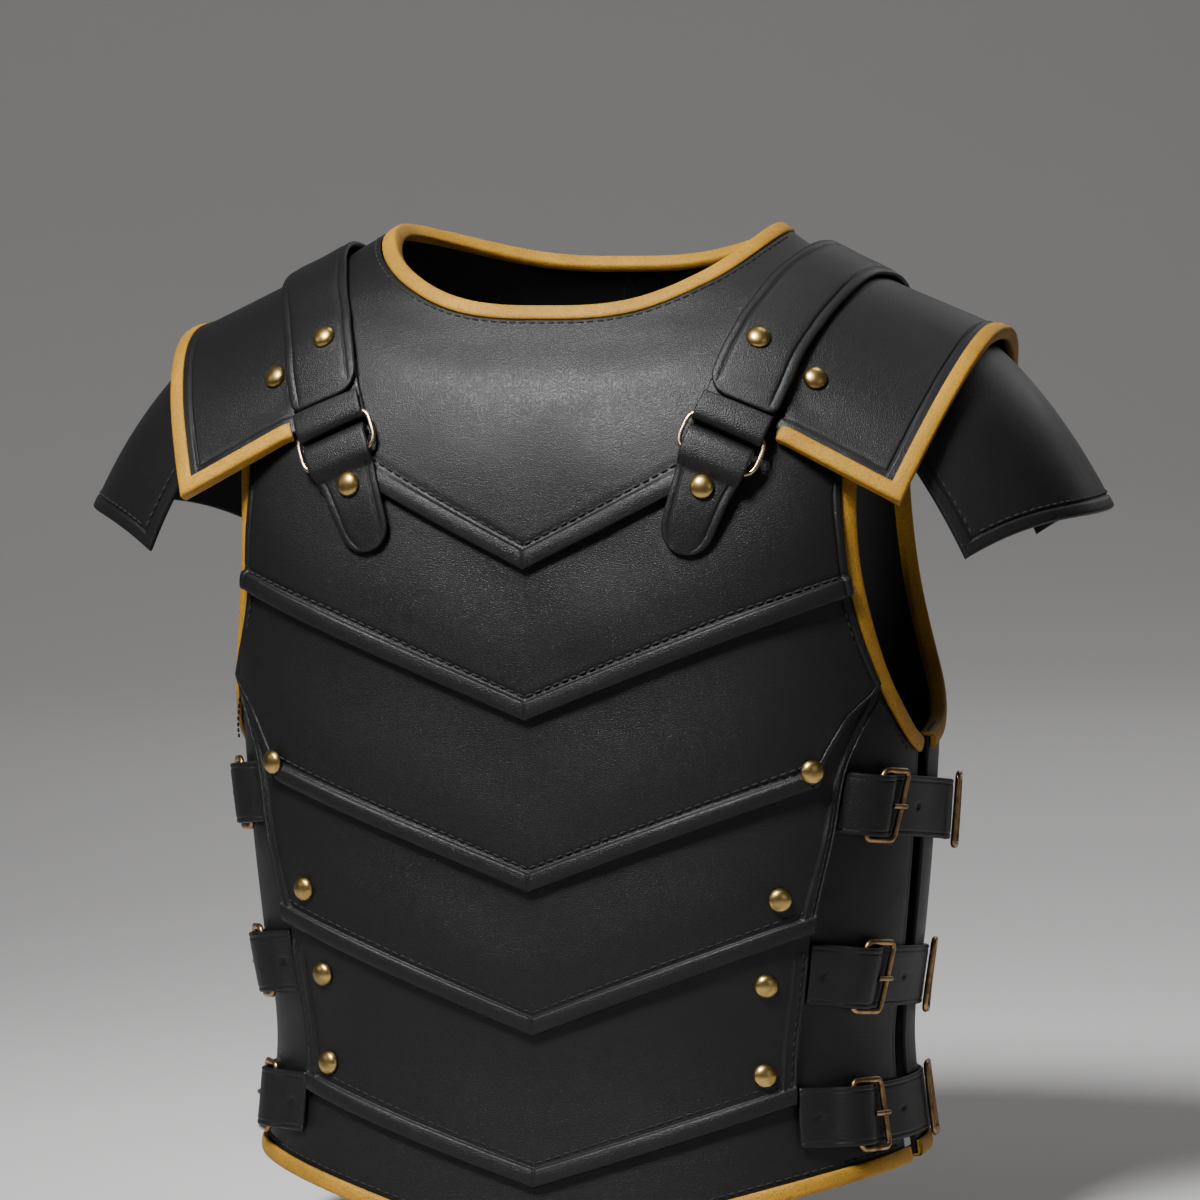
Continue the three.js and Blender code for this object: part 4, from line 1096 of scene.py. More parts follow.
def binding_outline(low, high, outer_leg):
    """Section of leather folded over an edge, as distance in from the edge and lift: a domed
    outer leg, a round turn and a shorter inner leg."""
    turn = EDGE_INSET - BINDING_GAP
    under = low - BINDING_GAP
    over = high + BINDING_GAP
    top = high + outer_leg
    bottom = under - BINDING_SKIN
    return np.array([
        (INNER_LEG, bottom + 0.4), (INNER_LEG - 0.6, bottom), (1.4, bottom), (0.4, bottom + 0.4),
        (0, bottom + 1.4), (0, top - 1.9), (0.15, top - 1.1), (0.6, top - 0.45), (1.4, top - 0.08),
        (2.8, top + 0.08), (4.4, top + 0.1), (5.9, top), (7.1, top - 0.3), (7.8, top - 0.8),
        (BINDING, top - 1.4), (BINDING, over), (turn, over), (turn, under), (INNER_LEG, under),
    ])


PLATE_OUTLINE = binding_outline(0, BODY, OUTER_LEG)


def bound_edge(path, side, t, across=beside):
    """Stations of the plates' binding: its section's insets across the edge's curve, lifted."""
    t, inset, lift = together(t[:, None], *PLATE_OUTLINE.T[:, None])
    return on_form(*across(path, t, side, inset), lift)


def upper_flap(u, v):
    """Middle of the upper flap: u from its front (-1) to its back (1), v from under the strap
    (0) to its outer edge (1). It bends off the form, then runs straight to the edge curve."""
    u, v = together(u, v)
    t = np.abs(u)
    s = t * np.where(u < 0, FLAP_FRONT, FLAP_BACK)
    out = np.minimum(1, v / FLAP_BEND_V)
    aside = np.where(u < 0, FLAP_FRONT_ASIDE * smooth((t - 0.72) / 0.2), 0)
    lift = FLAP_LIFT + FLAP_END_LIFT * out * smooth((t - 0.84) / 0.16)
    root = beside_strap(s, mix(FLAP_ROOT + aside, FLAP_BEND + aside / 2, out), lift)
    edge = np.stack([
        UPPER_EDGE["x"] - UPPER_EDGE["narrowing"] * t**2.4,
        FLAP_CENTRE_Y + UPPER_EDGE["half_length"] * u,
        UPPER_EDGE["z"] - UPPER_EDGE["drop"] * t**2.3], -1)
    share = np.maximum(0, (v - FLAP_BEND_V) / (1 - FLAP_BEND_V))[..., None]
    return root + (edge - root) * share


def off_surface(surface, u, v, distance):
    """Point at a distance from a surface along its upward normal."""
    u, v, distance = together(u, v, distance)
    step = 0.004
    along_u = surface(np.minimum(1, u + step), v) - surface(np.maximum(-1, u - step), v)
    along_v = surface(u, np.minimum(1, v + step)) - surface(u, np.maximum(0, v - step))
    normal = unit(np.cross(along_v, along_u))
    normal = np.where(normal[..., 2:] < 0, -normal, normal)
    return surface(u, v) + normal * distance[..., None]


def lower_flap(u, v):
    """Middle of the lower flap: from a line under the upper flap to its own edge curve, with a
    bulge between."""
    u, v = together(u, v)
    t = np.abs(u)
    root = off_surface(upper_flap, u * LOWER_ROOT_U, LOWER_ROOT_V + 0 * u, -FLAP - 2 * GAP)
    edge = np.stack([
        LOWER_EDGE["x"] - LOWER_EDGE["narrowing"] * t**2.65,
        FLAP_CENTRE_Y + LOWER_EDGE["half_length"] * u,
        LOWER_EDGE["z"] - LOWER_EDGE["drop"] * t**5], -1)
    outward = unit(np.stack([0.73 + 0 * u, 0.4 * u, 0.68 + 0 * u], -1))
    bulge = LOWER_BULGE * 4 * v * (1 - v) * (1 - 0.6 * t * t)
    return root + (edge - root) * v[..., None] + outward * bulge[..., None]


def in_from_end(end, v, inset):
    """The upper flap's u at a distance in from its end."""
    per_mm = 0.05 / np.linalg.norm(upper_flap(end, v) - upper_flap(end * 0.95, v), axis=-1)
    return end * (1 - inset * per_mm)


def in_from_edge(u, inset):
    """The upper flap's v at a distance in from its outer edge."""
    per_mm = 0.05 / np.linalg.norm(upper_flap(u, 0.95) - upper_flap(u, 0.9), axis=-1)
    return 1 - inset * per_mm


def flap_binding_stations():
    """The flap's binding: its section set off the flap along its front side, round the corner,
    along the outer edge and up the back side."""
    inset, lift = binding_outline(-FLAP / 2, FLAP / 2, BINDING_SKIN + GAP).T
    corner = BINDING + 1.2
    down = np.linspace(0.07, float(in_from_edge(-1.0, corner)), 40)[:, None]
    reach = float(in_from_end(1.0, 0.97, corner))
    outer = np.linspace(-reach, reach, 110)[:, None]
    sides = []
    for end in (-1.0, 1.0):
        side = off_surface(upper_flap, in_from_end(end, down + 0 * inset, inset), down, lift)
        v = in_from_edge(end, inset)
        turn = off_surface(upper_flap, in_from_end(end, v, inset), v, lift)[None]
        sides.append(np.concatenate([side, turn]))
    edge = off_surface(upper_flap, outer, in_from_edge(outer + 0 * inset, inset), lift)
    return np.concatenate([sides[0], edge, sides[1][::-1]])


def make_bindings():
    """Ochre leather folded over the neckline, armholes, hems and the upper flaps' edges."""
    ochre = finish_for("ochre_leather")
    around = length_along(np.concatenate([PLATE_OUTLINE, PLATE_OUTLINE[:1]]))[-1] / 2

    def bind(name, node, stations, loop=False, both=False):
        shape = swept(stations, loop)
        length = length_along(stations[:, 6])[-1]
        halves = (("_left", shape), ("_right", shape.mirrored())) if both else (("", shape),)
        for side, half in halves:
            piece = object_from(name + side, half, ochre, [node + side])

    neck = np.linspace(0, 1, 240, endpoint=False)
    bind("neckline_binding", "neck_binding", bound_edge(neck_path, -1, neck), loop=True)
    hem = np.linspace(0, 1, 150)
    bind("front_hem_binding", "hem_binding_front", bound_edge(front_hem, 1, hem))
    bind("back_hem_binding", "hem_binding_back", bound_edge(back_hem, 1, hem))
    t = np.linspace(0, 1, 110)
    front = bound_edge(armhole_front, -1, t, beside_armhole)[::-1]
    back = bound_edge(armhole_back, 1, t[1:], beside_armhole)
    bind("armhole_edge", "armhole_binding", np.concatenate([front, back]), both=True)
    bind("flap_binding", "upper_flap_binding", flap_binding_stations(), both=True)


# ---- shoulder flaps -----------------------------------------------------------


def upper_flap_shape():
    """The upper flap's surface up to its bound edges, creased beside the binding."""
    length, width = UPPER_GRID
    p = marks(length, GRID_STEP, FINE_STEP, [10, length - 10, 14, length - 14])[None, :]
    q = marks(width, GRID_STEP, FINE_STEP, [width - 10, width - 14])[:, None]
    v = q * in_from_edge(mix(-0.97, 0.97, p), EDGE_INSET)
    u = mix(in_from_end(-1.0, v, EDGE_INSET), in_from_end(1.0, v, EDGE_INSET), p)
    return flap_shape(upper_flap(u, v), EDGE_INSET, BINDING + FLAP_CREASE, 0.7, (0.2, 25), 0.3)


def lower_flap_shape():
    """The lower flap's whole surface, creased along a border strip."""
    length, width = LOWER_GRID
    p = marks(length, GRID_STEP, FINE_STEP, [LOWER_BORDER, length - LOWER_BORDER])[None, :]
    v = marks(width, GRID_STEP, FINE_STEP, [width - LOWER_BORDER])[:, None]
    return flap_shape(lower_flap(mix(-1.0, 1.0, p), v), 0, LOWER_BORDER, 0.6, (0.25, 20), 0.6)


def flap_shape(middle, inset, crease, border, waves, lean):
    """A flap from its middle points: a crease at a distance in from its three free edges, a
    border raised outside it, and waves (height and distance over which they begin)."""
    _, edge, first, last = edge_lengths(middle)
    inside = np.minimum(edge, np.minimum(first, last)) + inset
    relief = groove(inside, crease, 0.7, CREASE_BEND) + border * smooth(crease - inside)
    relief = relief + ripple(middle, waves[0]) * smooth(inside / waves[1])
    return leather(middle, FLAP, relief, outward=np.array([lean, 0.0, 1.0])), grid_cut(middle)


def make_flaps():
    """The bound upper flap and the plain lower flap of each shoulder."""
    black = finish_for("black_leather")
    for name, node, (shape, cut), below in (
            ("shoulder_flap", "upper_flap", upper_flap_shape(), "front_plate"),
            ("under_flap", "lower_flap", lower_flap_shape(), "shoulder_flap_left")):
        pair(name, shape, black, node, cut)


# ---- straps -------------------------------------------------------------------


def strap_lift(s):
    """Lift of a shoulder strap's inner face, which rises over the ring's roll in front."""
    return mix(STRAP_LIFT, STRAP_LIFT + LOOP + GAP, smooth((s - 70) / 35))


def rounded_back(share, corner):
    """How far a strap's end is drawn back at a share of its half width."""
    into = np.maximum(0, share - 1 + 2 * corner / STRAP_WIDTH) * STRAP_WIDTH / 2
    return corner - np.sqrt(np.maximum(corner**2 - into**2, 0))


def strap_shift(s, share):
    """Draws the strap's ends back at its corners, to round them."""
    front = smooth((s - STRAP_FRONT + 26) / 26)
    back = smooth((STRAP_BACK + 26 - s) / 26)
    return (-front * (rounded_back(-share, END_ROUND) + rounded_back(share, END_CORNER))
            + back * rounded_back(np.abs(share), END_ROUND))


def width_shares(width, places=(), step=2.6):
    """Shares of a strap's half width, from -1 to 1, finer at its sides and at the places."""
    half = marks(width / 2, step, 0.7, [width / 2 - p for p in places], ends=(False, True), reach=1.4)
    return both_ways(half)


def creased(inside, at):
    """Relief with a crease at a distance in from the sides and ends, and a lower border."""
    return groove(inside, at, CREASE_CUT, CREASE_BEND) - 0.3 * smooth(at - inside)


def strap_relief(s, w, from_side, from_end):
    return creased(np.minimum(from_side, from_end), STRAP_CREASE)


def strap_pair(name, node, shape, width, stations):
    pair(name, shape, finish_for("black_leather"), node, strip_cut(width, stations))


def make_shoulder_straps():
    """Shoulder straps, the rolls that hold the rings, and the tongues."""
    s = np.linspace(STRAP_BACK, STRAP_FRONT, 60)
    stations = np.stack([s, strap_lift(s) + STRAP / 2], -1)
    shape = strip(stations, STRAP_WIDTH / 2, STRAP, on_strap, width_shares(STRAP_WIDTH, [STRAP_CREASE]),
                  strap_relief, strap_shift)
    strap_pair("strap", "shoulder_strap", shape, STRAP_WIDTH, stations)
    bar = RING_CENTRE - RING_HALF_HEIGHT
    low = STRAP_LIFT + LOOP / 2
    high = RING_LIFT + RING_WIRE / 2 + GAP + LOOP / 2
    stations = np.array([
        (bar - 26, low), (bar - 12, low), (bar + 1.5, low), (bar + 4.3, low + 0.9),
        (bar + 5.4, RING_LIFT), (bar + 4.3, high - 0.9), (bar + 1.5, high), (bar - 2.5, high),
        (STRAP_FRONT + LOOP / 2, high - 1.2)])
    shape = strip(stations, LOOP_WIDTH / 2, LOOP, on_strap, width_shares(LOOP_WIDTH))
    strap_pair("roll", "ring_loop", shape, LOOP_WIDTH, stations)
    bar = RING_CENTRE + RING_HALF_HEIGHT
    low = BED + GAP + TONGUE / 2
    high = RING_LIFT + RING_WIRE / 2 + GAP + TONGUE / 2
    flat = BED + BAND_LIFT + GAP + TONGUE / 2
    stations = np.array([
        (bar - 9, low), (bar - 11.2, low + 1), (bar - 12.2, RING_LIFT), (bar - 11.2, high - 1),
        (bar - 8, high), (bar - 2, high), (bar + 1, high - 0.3), (bar + 2.7, high - 1.5),
        (bar + 3.7, high - 2.9), (bar + 5.2, flat + 0.3), (TONGUE_RIVET + 8, flat),
        (TONGUE_TIP - 16, flat - 0.7), (TONGUE_TIP - 8, flat - 1.6), (TONGUE_TIP - 3, flat - 2),
        (TONGUE_TIP, flat - 2.1)])
    half = TONGUE_WIDTH / 2

    def half_width(s):
        """Wider at the fold, narrower past the rivet, then a round tip."""
        grow = mix(1.15, 1, smooth((s - bar + 4) / 20)) - 0.1 * smooth((s - TONGUE_RIVET) / 25)
        into = np.maximum(0, s - TONGUE_TIP + half) / half
        return half * grow * np.maximum(0.02, np.sqrt(1 - np.minimum(1, into) ** 2.2))

    def tongue_relief(s, w, from_side, from_end):
        """Creased below the ring only."""
        return creased(np.minimum(from_side, from_end) + 100 * (s < bar + 3), TONGUE_CREASE)

    shape = strip(stations, half_width, TONGUE, on_strap, width_shares(TONGUE_WIDTH, [TONGUE_CREASE]),
                  tongue_relief)
    strap_pair("ring_tongue", "tongue", shape, TONGUE_WIDTH, stations)


class SideLine:
    """Where a side strap lies: distance s forward from the buckle's rear bar along the girth,
    and w up from the strap's middle, which climbs by its slope."""

    def __init__(self, row):
        self.__dict__.update(zip(SIDE_STRAP_COLUMNS, row))
        rear = SIDE_STRAP_REAR_ANGLE + 4

        def path(t):
            return mix(rear, 50, np.asarray(t, float)), self.height + 0 * np.asarray(t, float)

        self.path = path
        self.measure = measured(path, (rear - BUCKLE_ANGLE) / (rear - 50))

    def spot(self, s, w):
        """Angle and height."""
        return self.path(self.measure(s - self.slope * w))[0], self.height + w + self.slope * s

    def place(self, s, w, lift):
        s, w, lift = together(s, w, lift)
        return on_form(*self.spot(s, w), lift)

    def girth_length(self, angle):
        """Length round the form from the buckle to an angle."""
        angles = mix(BUCKLE_ANGLE, angle, np.linspace(0, 1, 13))
        return float(length_along(section(angles, self.height))[-1])

    def stack_reach(self, w):
        """Distance forward to the edge of the lames, found by repeated steps."""
        s = 40 + 0 * np.asarray(w, float)
        for _ in range(20):
            angle, z = self.spot(s, w)
            s = s + (angle - stack_angle(z) - STACK_CLEARANCE) * DEGREE_LENGTH
        return s


SIDE_LINES = [SideLine(row) for row in SIDE_STRAP_ROWS]


def make_side_straps():
    """Three straps on each side, each through its buckle, with the tab that holds it."""
    half = SIDE_STRAP_WIDTH / 2
    level = SIDE_LEVEL + SIDE_STRAP / 2
    over = FRONT_BAR_LIFT + BUCKLE_WIRE / 2 + 2 * GAP + CHAPE + SIDE_STRAP / 2
    low = SIDE_LEVEL + CHAPE / 2
    high = low + CHAPE + GAP
    turn = BUCKLE_WIRE / 2 + GAP + CHAPE / 2 + 0.1
    bar = BUCKLE_REACH
    tab_stations = np.array([
        (bar + 12, low), (bar + 2, low), (bar - 2, low + 0.3), (bar - turn, FRONT_BAR_LIFT),
        (bar - 1.8, FRONT_BAR_LIFT + turn - 0.6), (bar + 1.5, FRONT_BAR_LIFT + turn - 0.3),
        (bar + 4.4, high + 1.4), (bar + 6.5, high), (bar + 10, high)])

    def relief(s, w, from_side, from_end):
        hole = sum(-1.2 * smooth((1.9 - np.hypot(s - at, w)) / 0.6) for at in HOLES)
        return groove(from_side, 2.6, 0.3, 0.5) + hole

    for number, line in enumerate(SIDE_LINES, 1):
        rear = -line.girth_length(SIDE_STRAP_REAR_ANGLE)
        front = float(line.stack_reach(0.0))
        back_part = [(mix(rear, -5, t), level + line.rise * smooth(1.25 - 1.6 * t))
                     for t in np.linspace(0, 1, 6)]
        stations = np.array([
            *back_part, (2, level + 0.1), (6, level + 1.3), (10, over - 3), (14, over - 0.4),
            (bar, over), (22, over - 0.3), (27, over - 2.2), (32, level + 2.6),
            (front - 3, level + 1.2), (front, level + 0.7)])

        def shift(s, share):
            return smooth((s - front + 6) / 6) * (line.stack_reach(-share * half + 0 * s) - front)

        shape = strip(stations, half, SIDE_STRAP, line.place,
                      width_shares(SIDE_STRAP_WIDTH, [2.6, half], 2.0), relief, shift)
        strap_pair(f"side_belt_{number}", f"side_strap_{number}", shape, SIDE_STRAP_WIDTH, stations)
        shape = strip(tab_stations, CHAPE_WIDTH / 2, CHAPE, line.place, width_shares(CHAPE_WIDTH))
        strap_pair(f"tab_{number}", f"buckle_tab_{number}", shape, CHAPE_WIDTH, tab_stations)


# ---- brass --------------------------------------------------------------------


def ring_centre_line(count=96):
    """A squarish oval in (along, across): powers of sine and cosine, spaced evenly."""
    phase = np.linspace(0, 2 * np.pi, count, endpoint=False)
    turn = np.stack([np.sin(phase), np.cos(phase)], -1)
    oval = np.sign(turn) * np.abs(turn) ** (2 / RING_SQUARENESS) * [RING_HALF_HEIGHT, RING_HALF_WIDTH]
    closed = np.concatenate([oval, oval[:1]])
    chord = length_along(closed)
    even = np.linspace(0, chord[-1], count, endpoint=False)
    return np.stack([np.interp(even, chord, closed[:, k]) for k in (0, 1)], -1)


def frame_line(reach, rail, corner=BUCKLE_CORNER, turns=7, step=2.0):
    """A rounded rectangle in (along, across): a quarter circle about each corner's centre, and
    even points along the sides between them."""
    quarter = np.radians(np.linspace(0, 90, turns))
    angle = np.stack([quarter, quarter[::-1], quarter, quarter[::-1]])
    start, inward, up = np.array([(0, 1, 1), (reach, -1, 1), (reach, -1, -1), (0, 1, -1)]).T[..., None]
    along = start + inward * corner * (1 - np.cos(angle))
    across = up * (rail - corner + corner * np.sin(angle))
    points = np.stack([along, across], -1).reshape(-1, 2)
    span = np.roll(points, -1, 0) - points
    count = np.maximum(1, (np.hypot(*span.T) / step).astype(int))
    share = (np.arange(count.sum()) - np.repeat(np.cumsum(count) - count, count)) / np.repeat(count, count)
    return np.repeat(points, count, 0) + np.repeat(span, count, 0) * share[:, None]


def dome(point, normal, radius=RIVET_RADIUS, height=RIVET_HEIGHT, sides=36):
    """A rivet's domed cap: an ellipse's arc turned round its axis, closed below."""
    turn = np.radians([0, 8, 18, 30, 42, 54, 66, 76, 84, 90])
    outline = [(radius * 0.9, -0.4), (radius, 0.0), (radius, 0.45)]
    outline += [(radius * 0.985 * np.cos(a), 0.45 + (height - 0.45) * np.sin(a)) for a in turn[1:-1]]
    outline = np.array([(0.0, -0.4), *outline, (0.0, height)])
    normal = unit(np.asarray(normal, float))
    side = unit(np.cross(normal, [0.13, 0.31, 0.94]))
    other = np.cross(normal, side)
    phase = np.linspace(0, 2 * np.pi, sides, endpoint=False)
    around = np.cos(phase)[:, None] * side + np.sin(phase)[:, None] * other
    points = point + outline[None, :, :1] * around[:, None] + outline[None, :, 1:] * normal
    return Shape(points, [grid_faces(sides, len(outline), loop_rows=True)])


def rod_at(place, s, w, lift, radius, sides, **more):
    """A rod through addresses of a strap, its section upright on the form."""
    centre = place(s, w, lift)
    return rod(centre, place(s, w, lift + 1) - centre, radius, sides, **more)


def make_buckles():
    brown = finish_for("brown_brass")
    wire = BUCKLE_WIRE / 2
    for number, line in enumerate(SIDE_LINES, 1):
        s, w = frame_line(BUCKLE_REACH, RAIL).T
        lift = mix(REAR_BAR_LIFT, FRONT_BAR_LIFT, s / BUCKLE_REACH)
        buckle = rod_at(line.place, s - line.lean * w, w, lift, wire, 12, loop=True, flat=0.85)
        s = np.linspace(9.5, -1.8, 14)
        tip = smooth(-s / 2)
        prong = rod_at(line.place, s, 0 * s, REAR_BAR_LIFT + wire + 0.9 - 0.6 * tip, mix(1.3, 0.9, tip), 8)
        pair(f"buckle_frame_{number}", buckle.joined(prong), brown, f"buckle_{number}")
        s, w = frame_line(REAR_FRAME_REACH, RAIL + 0.6).T
        lift = REAR_BAR_LIFT + 0.2 + line.rise + 0.8 * smooth(1 - s / REAR_FRAME_REACH)
        s = s - line.girth_length(REAR_FRAME_ANGLE)
        frame_rod = rod_at(line.place, s, w, lift, wire, 10, loop=True, flat=0.85)
        pair(f"rear_frame_{number}", frame_rod, brown)


def make_rivets():
    brass = finish_for("antique_brass")
    spots = []
    for number, angle, z, lift in LAME_RIVETS:
        spots.append((f"lame_rivet_{number}", on_form(angle, z, lift), form_normal(angle, z)))
    along, across = STRAP_RIVET
    for name, s, w, lift in (
            ("strap_rivet", along, across, float(strap_lift(along)) + STRAP + GAP),
            ("tongue_rivet", TONGUE_RIVET, 0, BED + BAND_LIFT + GAP + TONGUE + GAP)):
        point = on_strap(s, w, lift)
        spots.append((name, point, on_strap(s, w, lift + 1) - point))
    point = off_surface(upper_flap, *FLAP_RIVET, FLAP / 2 + GAP)
    spots.append(("flap_rivet", point, off_surface(upper_flap, *FLAP_RIVET, FLAP / 2 + GAP + 1) - point))
    for name, point, normal in spots:
        pair(f"{name}_cap", dome(point, normal), brass, name)


def make_brass():
    """Rings, buckles with their prongs, the straps' rear frames and every rivet."""
    s, w = ring_centre_line().T
    ring = rod_at(on_strap, RING_CENTRE + s, w, RING_LIFT, RING_WIRE / 2, 12, loop=True)
    pair("shoulder_ring", ring, finish_for("pale_brass"), "ring")
    make_buckles()
    make_rivets()


# ---- stitching ----------------------------------------------------------------


def stitch_run(points, up):
    """Stitches along a line: each is a short six-sided rod with pointed ends, sunk by half."""
    looks = bpy.context.scene.cuirass_looks
    chord = length_along(points)
    count = max(1, int(chord[-1] / (looks.stitch_pitch / MM)))
    at = (np.arange(count) + 0.5) * chord[-1] / count

    def along(values, where):
        return np.stack([np.interp(where, chord, values[:, k]) for k in range(3)], -1)

    centre = along(points, at)
    tangent = unit(along(points, np.minimum(at + 0.5, chord[-1])) - along(points, np.maximum(at - 0.5, 0)))
    rise = unit(along(up, at))
    side = unit(np.cross(tangent, rise))
    x = np.array([-0.5, -0.36, 0.0, 0.36, 0.5]) * looks.stitch_length / MM
    r = np.array([0.15, 0.8, 1.0, 0.8, 0.15])[:, None] * looks.stitch_width / MM / 2
    turn = np.linspace(0, 2 * np.pi, STITCH_SIDES, endpoint=False)
    points = (centre[:, None, None] + x[:, None, None] * tangent[:, None, None]
              + (r * np.cos(turn))[..., None] * side[:, None, None]
              + (r * np.sin(turn))[..., None] * rise[:, None, None])
    size = len(x) * STITCH_SIDES
    first = np.arange(count)[:, None, None] * size
    quads = grid_faces(len(x), STITCH_SIDES, loop_columns=True) + first
    ends = np.stack([np.arange(STITCH_SIDES), np.arange(size - STITCH_SIDES, size)[::-1]]) + first
    return Shape(points, [quads.reshape(-1, 4), ends.reshape(-1, STITCH_SIDES)])


def run_on_form(angle, z, lift, side=1):
    angle = side * angle
    return stitch_run(on_form(angle, z, lift + 0 * angle), form_normal(angle, z))


def run_on_flap(surface, u, v):
    points = off_surface(surface, u, v, FLAP / 2 - 0.1)
    return stitch_run(points, off_surface(surface, u, v, FLAP / 2 + 1) - points)


def run_beside(path, side, t, distance, lift, mirror=1):
    angle, z = beside(path, t, side, distance + 0 * t)
    return run_on_form(angle, z, lift, mirror)


def at_inset(shares, rows, inset):
    """On each row of points, the share where the length from its first point is the inset."""
    length = length_along(rows, axis=1)
    i = np.clip((length < inset).sum(1), 1, len(shares) - 1)
    row = np.arange(len(rows))
    before, after = length[row, i - 1], length[row, i]
    return shares[i - 1] + (shares[i] - shares[i - 1]) * (inset - before) / (after - before)


def stitches(name, runs):
    """Runs of stitches as one object; their rods are closed one by one, so nothing merges."""
    shape = runs[0].joined(*runs[1:])
    object_from(name, shape, finish_for("black_thread"), merge=False)


def band_runs(number):
    """The row of stitches above a lame's rolled edge, on each side of its point."""
    half = np.linspace(0, 1, 120)
    above = BAND + STITCH_INSET / np.cos(np.arctan(CHEVRONS[number - 1][1]))
    if number == 1:
        angle = half * float(bib_side(np.array(1.0))[0]) * 0.97
        z = chevron_height(0, angle) + above
        lift = BIB_LEVELS[1]
    else:
        v = 1 - above / lame_height(number)
        angle, z = lame_address(number, half * 0.97, v + 0 * half)
        lift = lame_lift(number, angle, v)
    return [run_on_form(angle, z, lift + LAME - 0.1, side) for side in (1, -1)]


def border_run(number, first_v, side):
    """The row of stitches along a lame's side border."""
    v = np.linspace(first_v, 0.97, 80)
    half_width = np.abs(section(*lame_address(number, 1 + 0 * v, v))[:, 0])
    angle, z = lame_address(number, 1 - 2.6 / half_width * 0.92, v)
    return run_on_form(angle, z, lame_lift(number, angle, v) + LAME + 0.45, side)


def flap_runs():
    """Rows of stitches round the three free sides of the upper and of the lower flap."""
    inset = BINDING + FLAP_CREASE - 1.6
    down = np.linspace(0.2, float(in_from_edge(-1.0, inset)), 60)
    outer = np.linspace(-1, 1, 160) * float(in_from_end(1.0, 0.97, inset))
    runs = [run_on_flap(upper_flap, in_from_end(end, down, inset), down) for end in (-1.0, 1.0)]
    runs.append(run_on_flap(upper_flap, outer, in_from_edge(outer, inset)))
    inset = LOWER_BORDER + 1.4
    near = np.linspace(1, 0.5, 120)
    outer = np.linspace(-0.93, 0.93, 120)
    low = at_inset(near, lower_flap(outer[:, None], near[None]), inset)
    runs.append(run_on_flap(lower_flap, outer, low))
    down = np.linspace(0.25, float(low[0]), 60)
    for end in (-1.0, 1.0):
        side = at_inset(near, lower_flap(end * near[None], down[:, None]), inset)
        runs.append(run_on_flap(lower_flap, end * side, down))
    return runs


def make_stitching():
    """Rows of stitches above the rolled edges, beside the bindings and round the flaps."""
    runs = [run for number in (1, 2, 3, 4, 5) for run in band_runs(number)]
    for side in (1, -1):
        runs += [border_run(4, 0.17, side), border_run(5, 0.3, side),
                 run_beside(armhole_front, -1, np.linspace(0.34, 0.9, 120), BINDING + ARMHOLE_CREASE + 1.4,
                            LEVEL_1 + LAME + 0.3, side)]
    stitches("stitches_lames", runs)
    inset = BINDING + 2.2
    across_front = np.linspace(-0.225, 0.225, 160) % 1
    along_edge = np.linspace(0.02, 0.98, 160)
    runs = [run_beside(lambda t: neck_path(np.asarray(t) % 1), -1, across_front, BINDING + 3.0,
                       BIB_LEVELS[0] + LAME),
            run_beside(neck_path, -1, np.linspace(0.27, 0.73, 160), inset, BODY)]
    runs += [run_beside(path, 1, along_edge, inset, BODY) for path in (front_hem, back_hem)]
    runs += [run_beside(armhole_back, 1, along_edge, inset, BODY, side) for side in (1, -1)]
    stitches("stitches_plates", runs)
    runs = flap_runs()
    stitches("stitches_flaps_left", runs)
    stitches("stitches_flaps_right", [run.mirrored() for run in runs])


# ---- stage --------------------------------------------------------------------

# Camera and backdrop: degrees, metres, and pixels for the focal length.
VIEW_AZIMUTH = 15.1
VIEW_ELEVATION = 4.5
VIEW_DISTANCE = 3.213
VIEW_HEIGHT = -0.184
VIEW_ASIDE = 0.0032
VIEW_ROLL = 0.53
SENSOR = 36
FOCAL_PIXELS = 6426
IMAGE_SIZE = 1200
FLOOR_HEIGHT = -0.5035
FLOOR_REACH = 3
WALL_BEND = 2.5
WALL_TOP = 6.0

# Area lights: place and target in metres, size, power and spread in degrees.
LIGHT_COLUMNS = ("name", "place", "target", "size", "power", "spread")
LIGHTS = (
    ("key", (-0.35, -1.35, 1.3), (0, 0, -0.12), 0.6, 13, 60),
    ("side", (-2.4, -1.4, 0.7), (0, 0, -0.22), 1.2, 4, 180),
    ("fill", (2.6, -1.7, 0.4), (0, 0, -0.22), 1.6, 3.5, 180),
    ("top", (0.5, 0.7, 2.2), (0, 0, -0.22), 1.2, 11, 180),
    ("back", (0.8, 2.6, 1.2), (0, 0, -0.22), 1.6, 8, 180),
    ("wall", (-0.6, 1.6, 1.8), (-1.2, 4.6, 0.6), 1.6, 27, 180),
)


def backdrop_shape():
    """Round floor that curves up into a wall: a profile of a level line, a quarter circle and
    an upright line, turned round the vertical."""
    turn = np.linspace(0, np.pi / 2, 24)
    bend = WALL_BEND * np.sin(turn)
    radius = np.concatenate([[0.001, 1, 2], FLOOR_REACH + bend, [FLOOR_REACH + WALL_BEND]])
    height = np.concatenate([[0, 0, 0], WALL_BEND * (1 - np.cos(turn)), [WALL_TOP]]) + FLOOR_HEIGHT
    phase = np.linspace(0, 2 * np.pi, 72, endpoint=False)[:, None]
    points = np.stack([radius * np.cos(phase), radius * np.sin(phase), height + 0 * phase], -1) / MM
    return Shape(points, [grid_faces(72, len(radius), loop_rows=True)])


def make_floor():
    shape = backdrop_shape()
    mesh = bpy.data.meshes.new("backdrop")
    mesh.from_pydata((shape.points * MM).tolist(), [], shape.faces[0].tolist())
    mesh.shade_smooth()
    floor = in_scene("backdrop", mesh)
    mesh.materials.append(finish_for("pale_backdrop"))


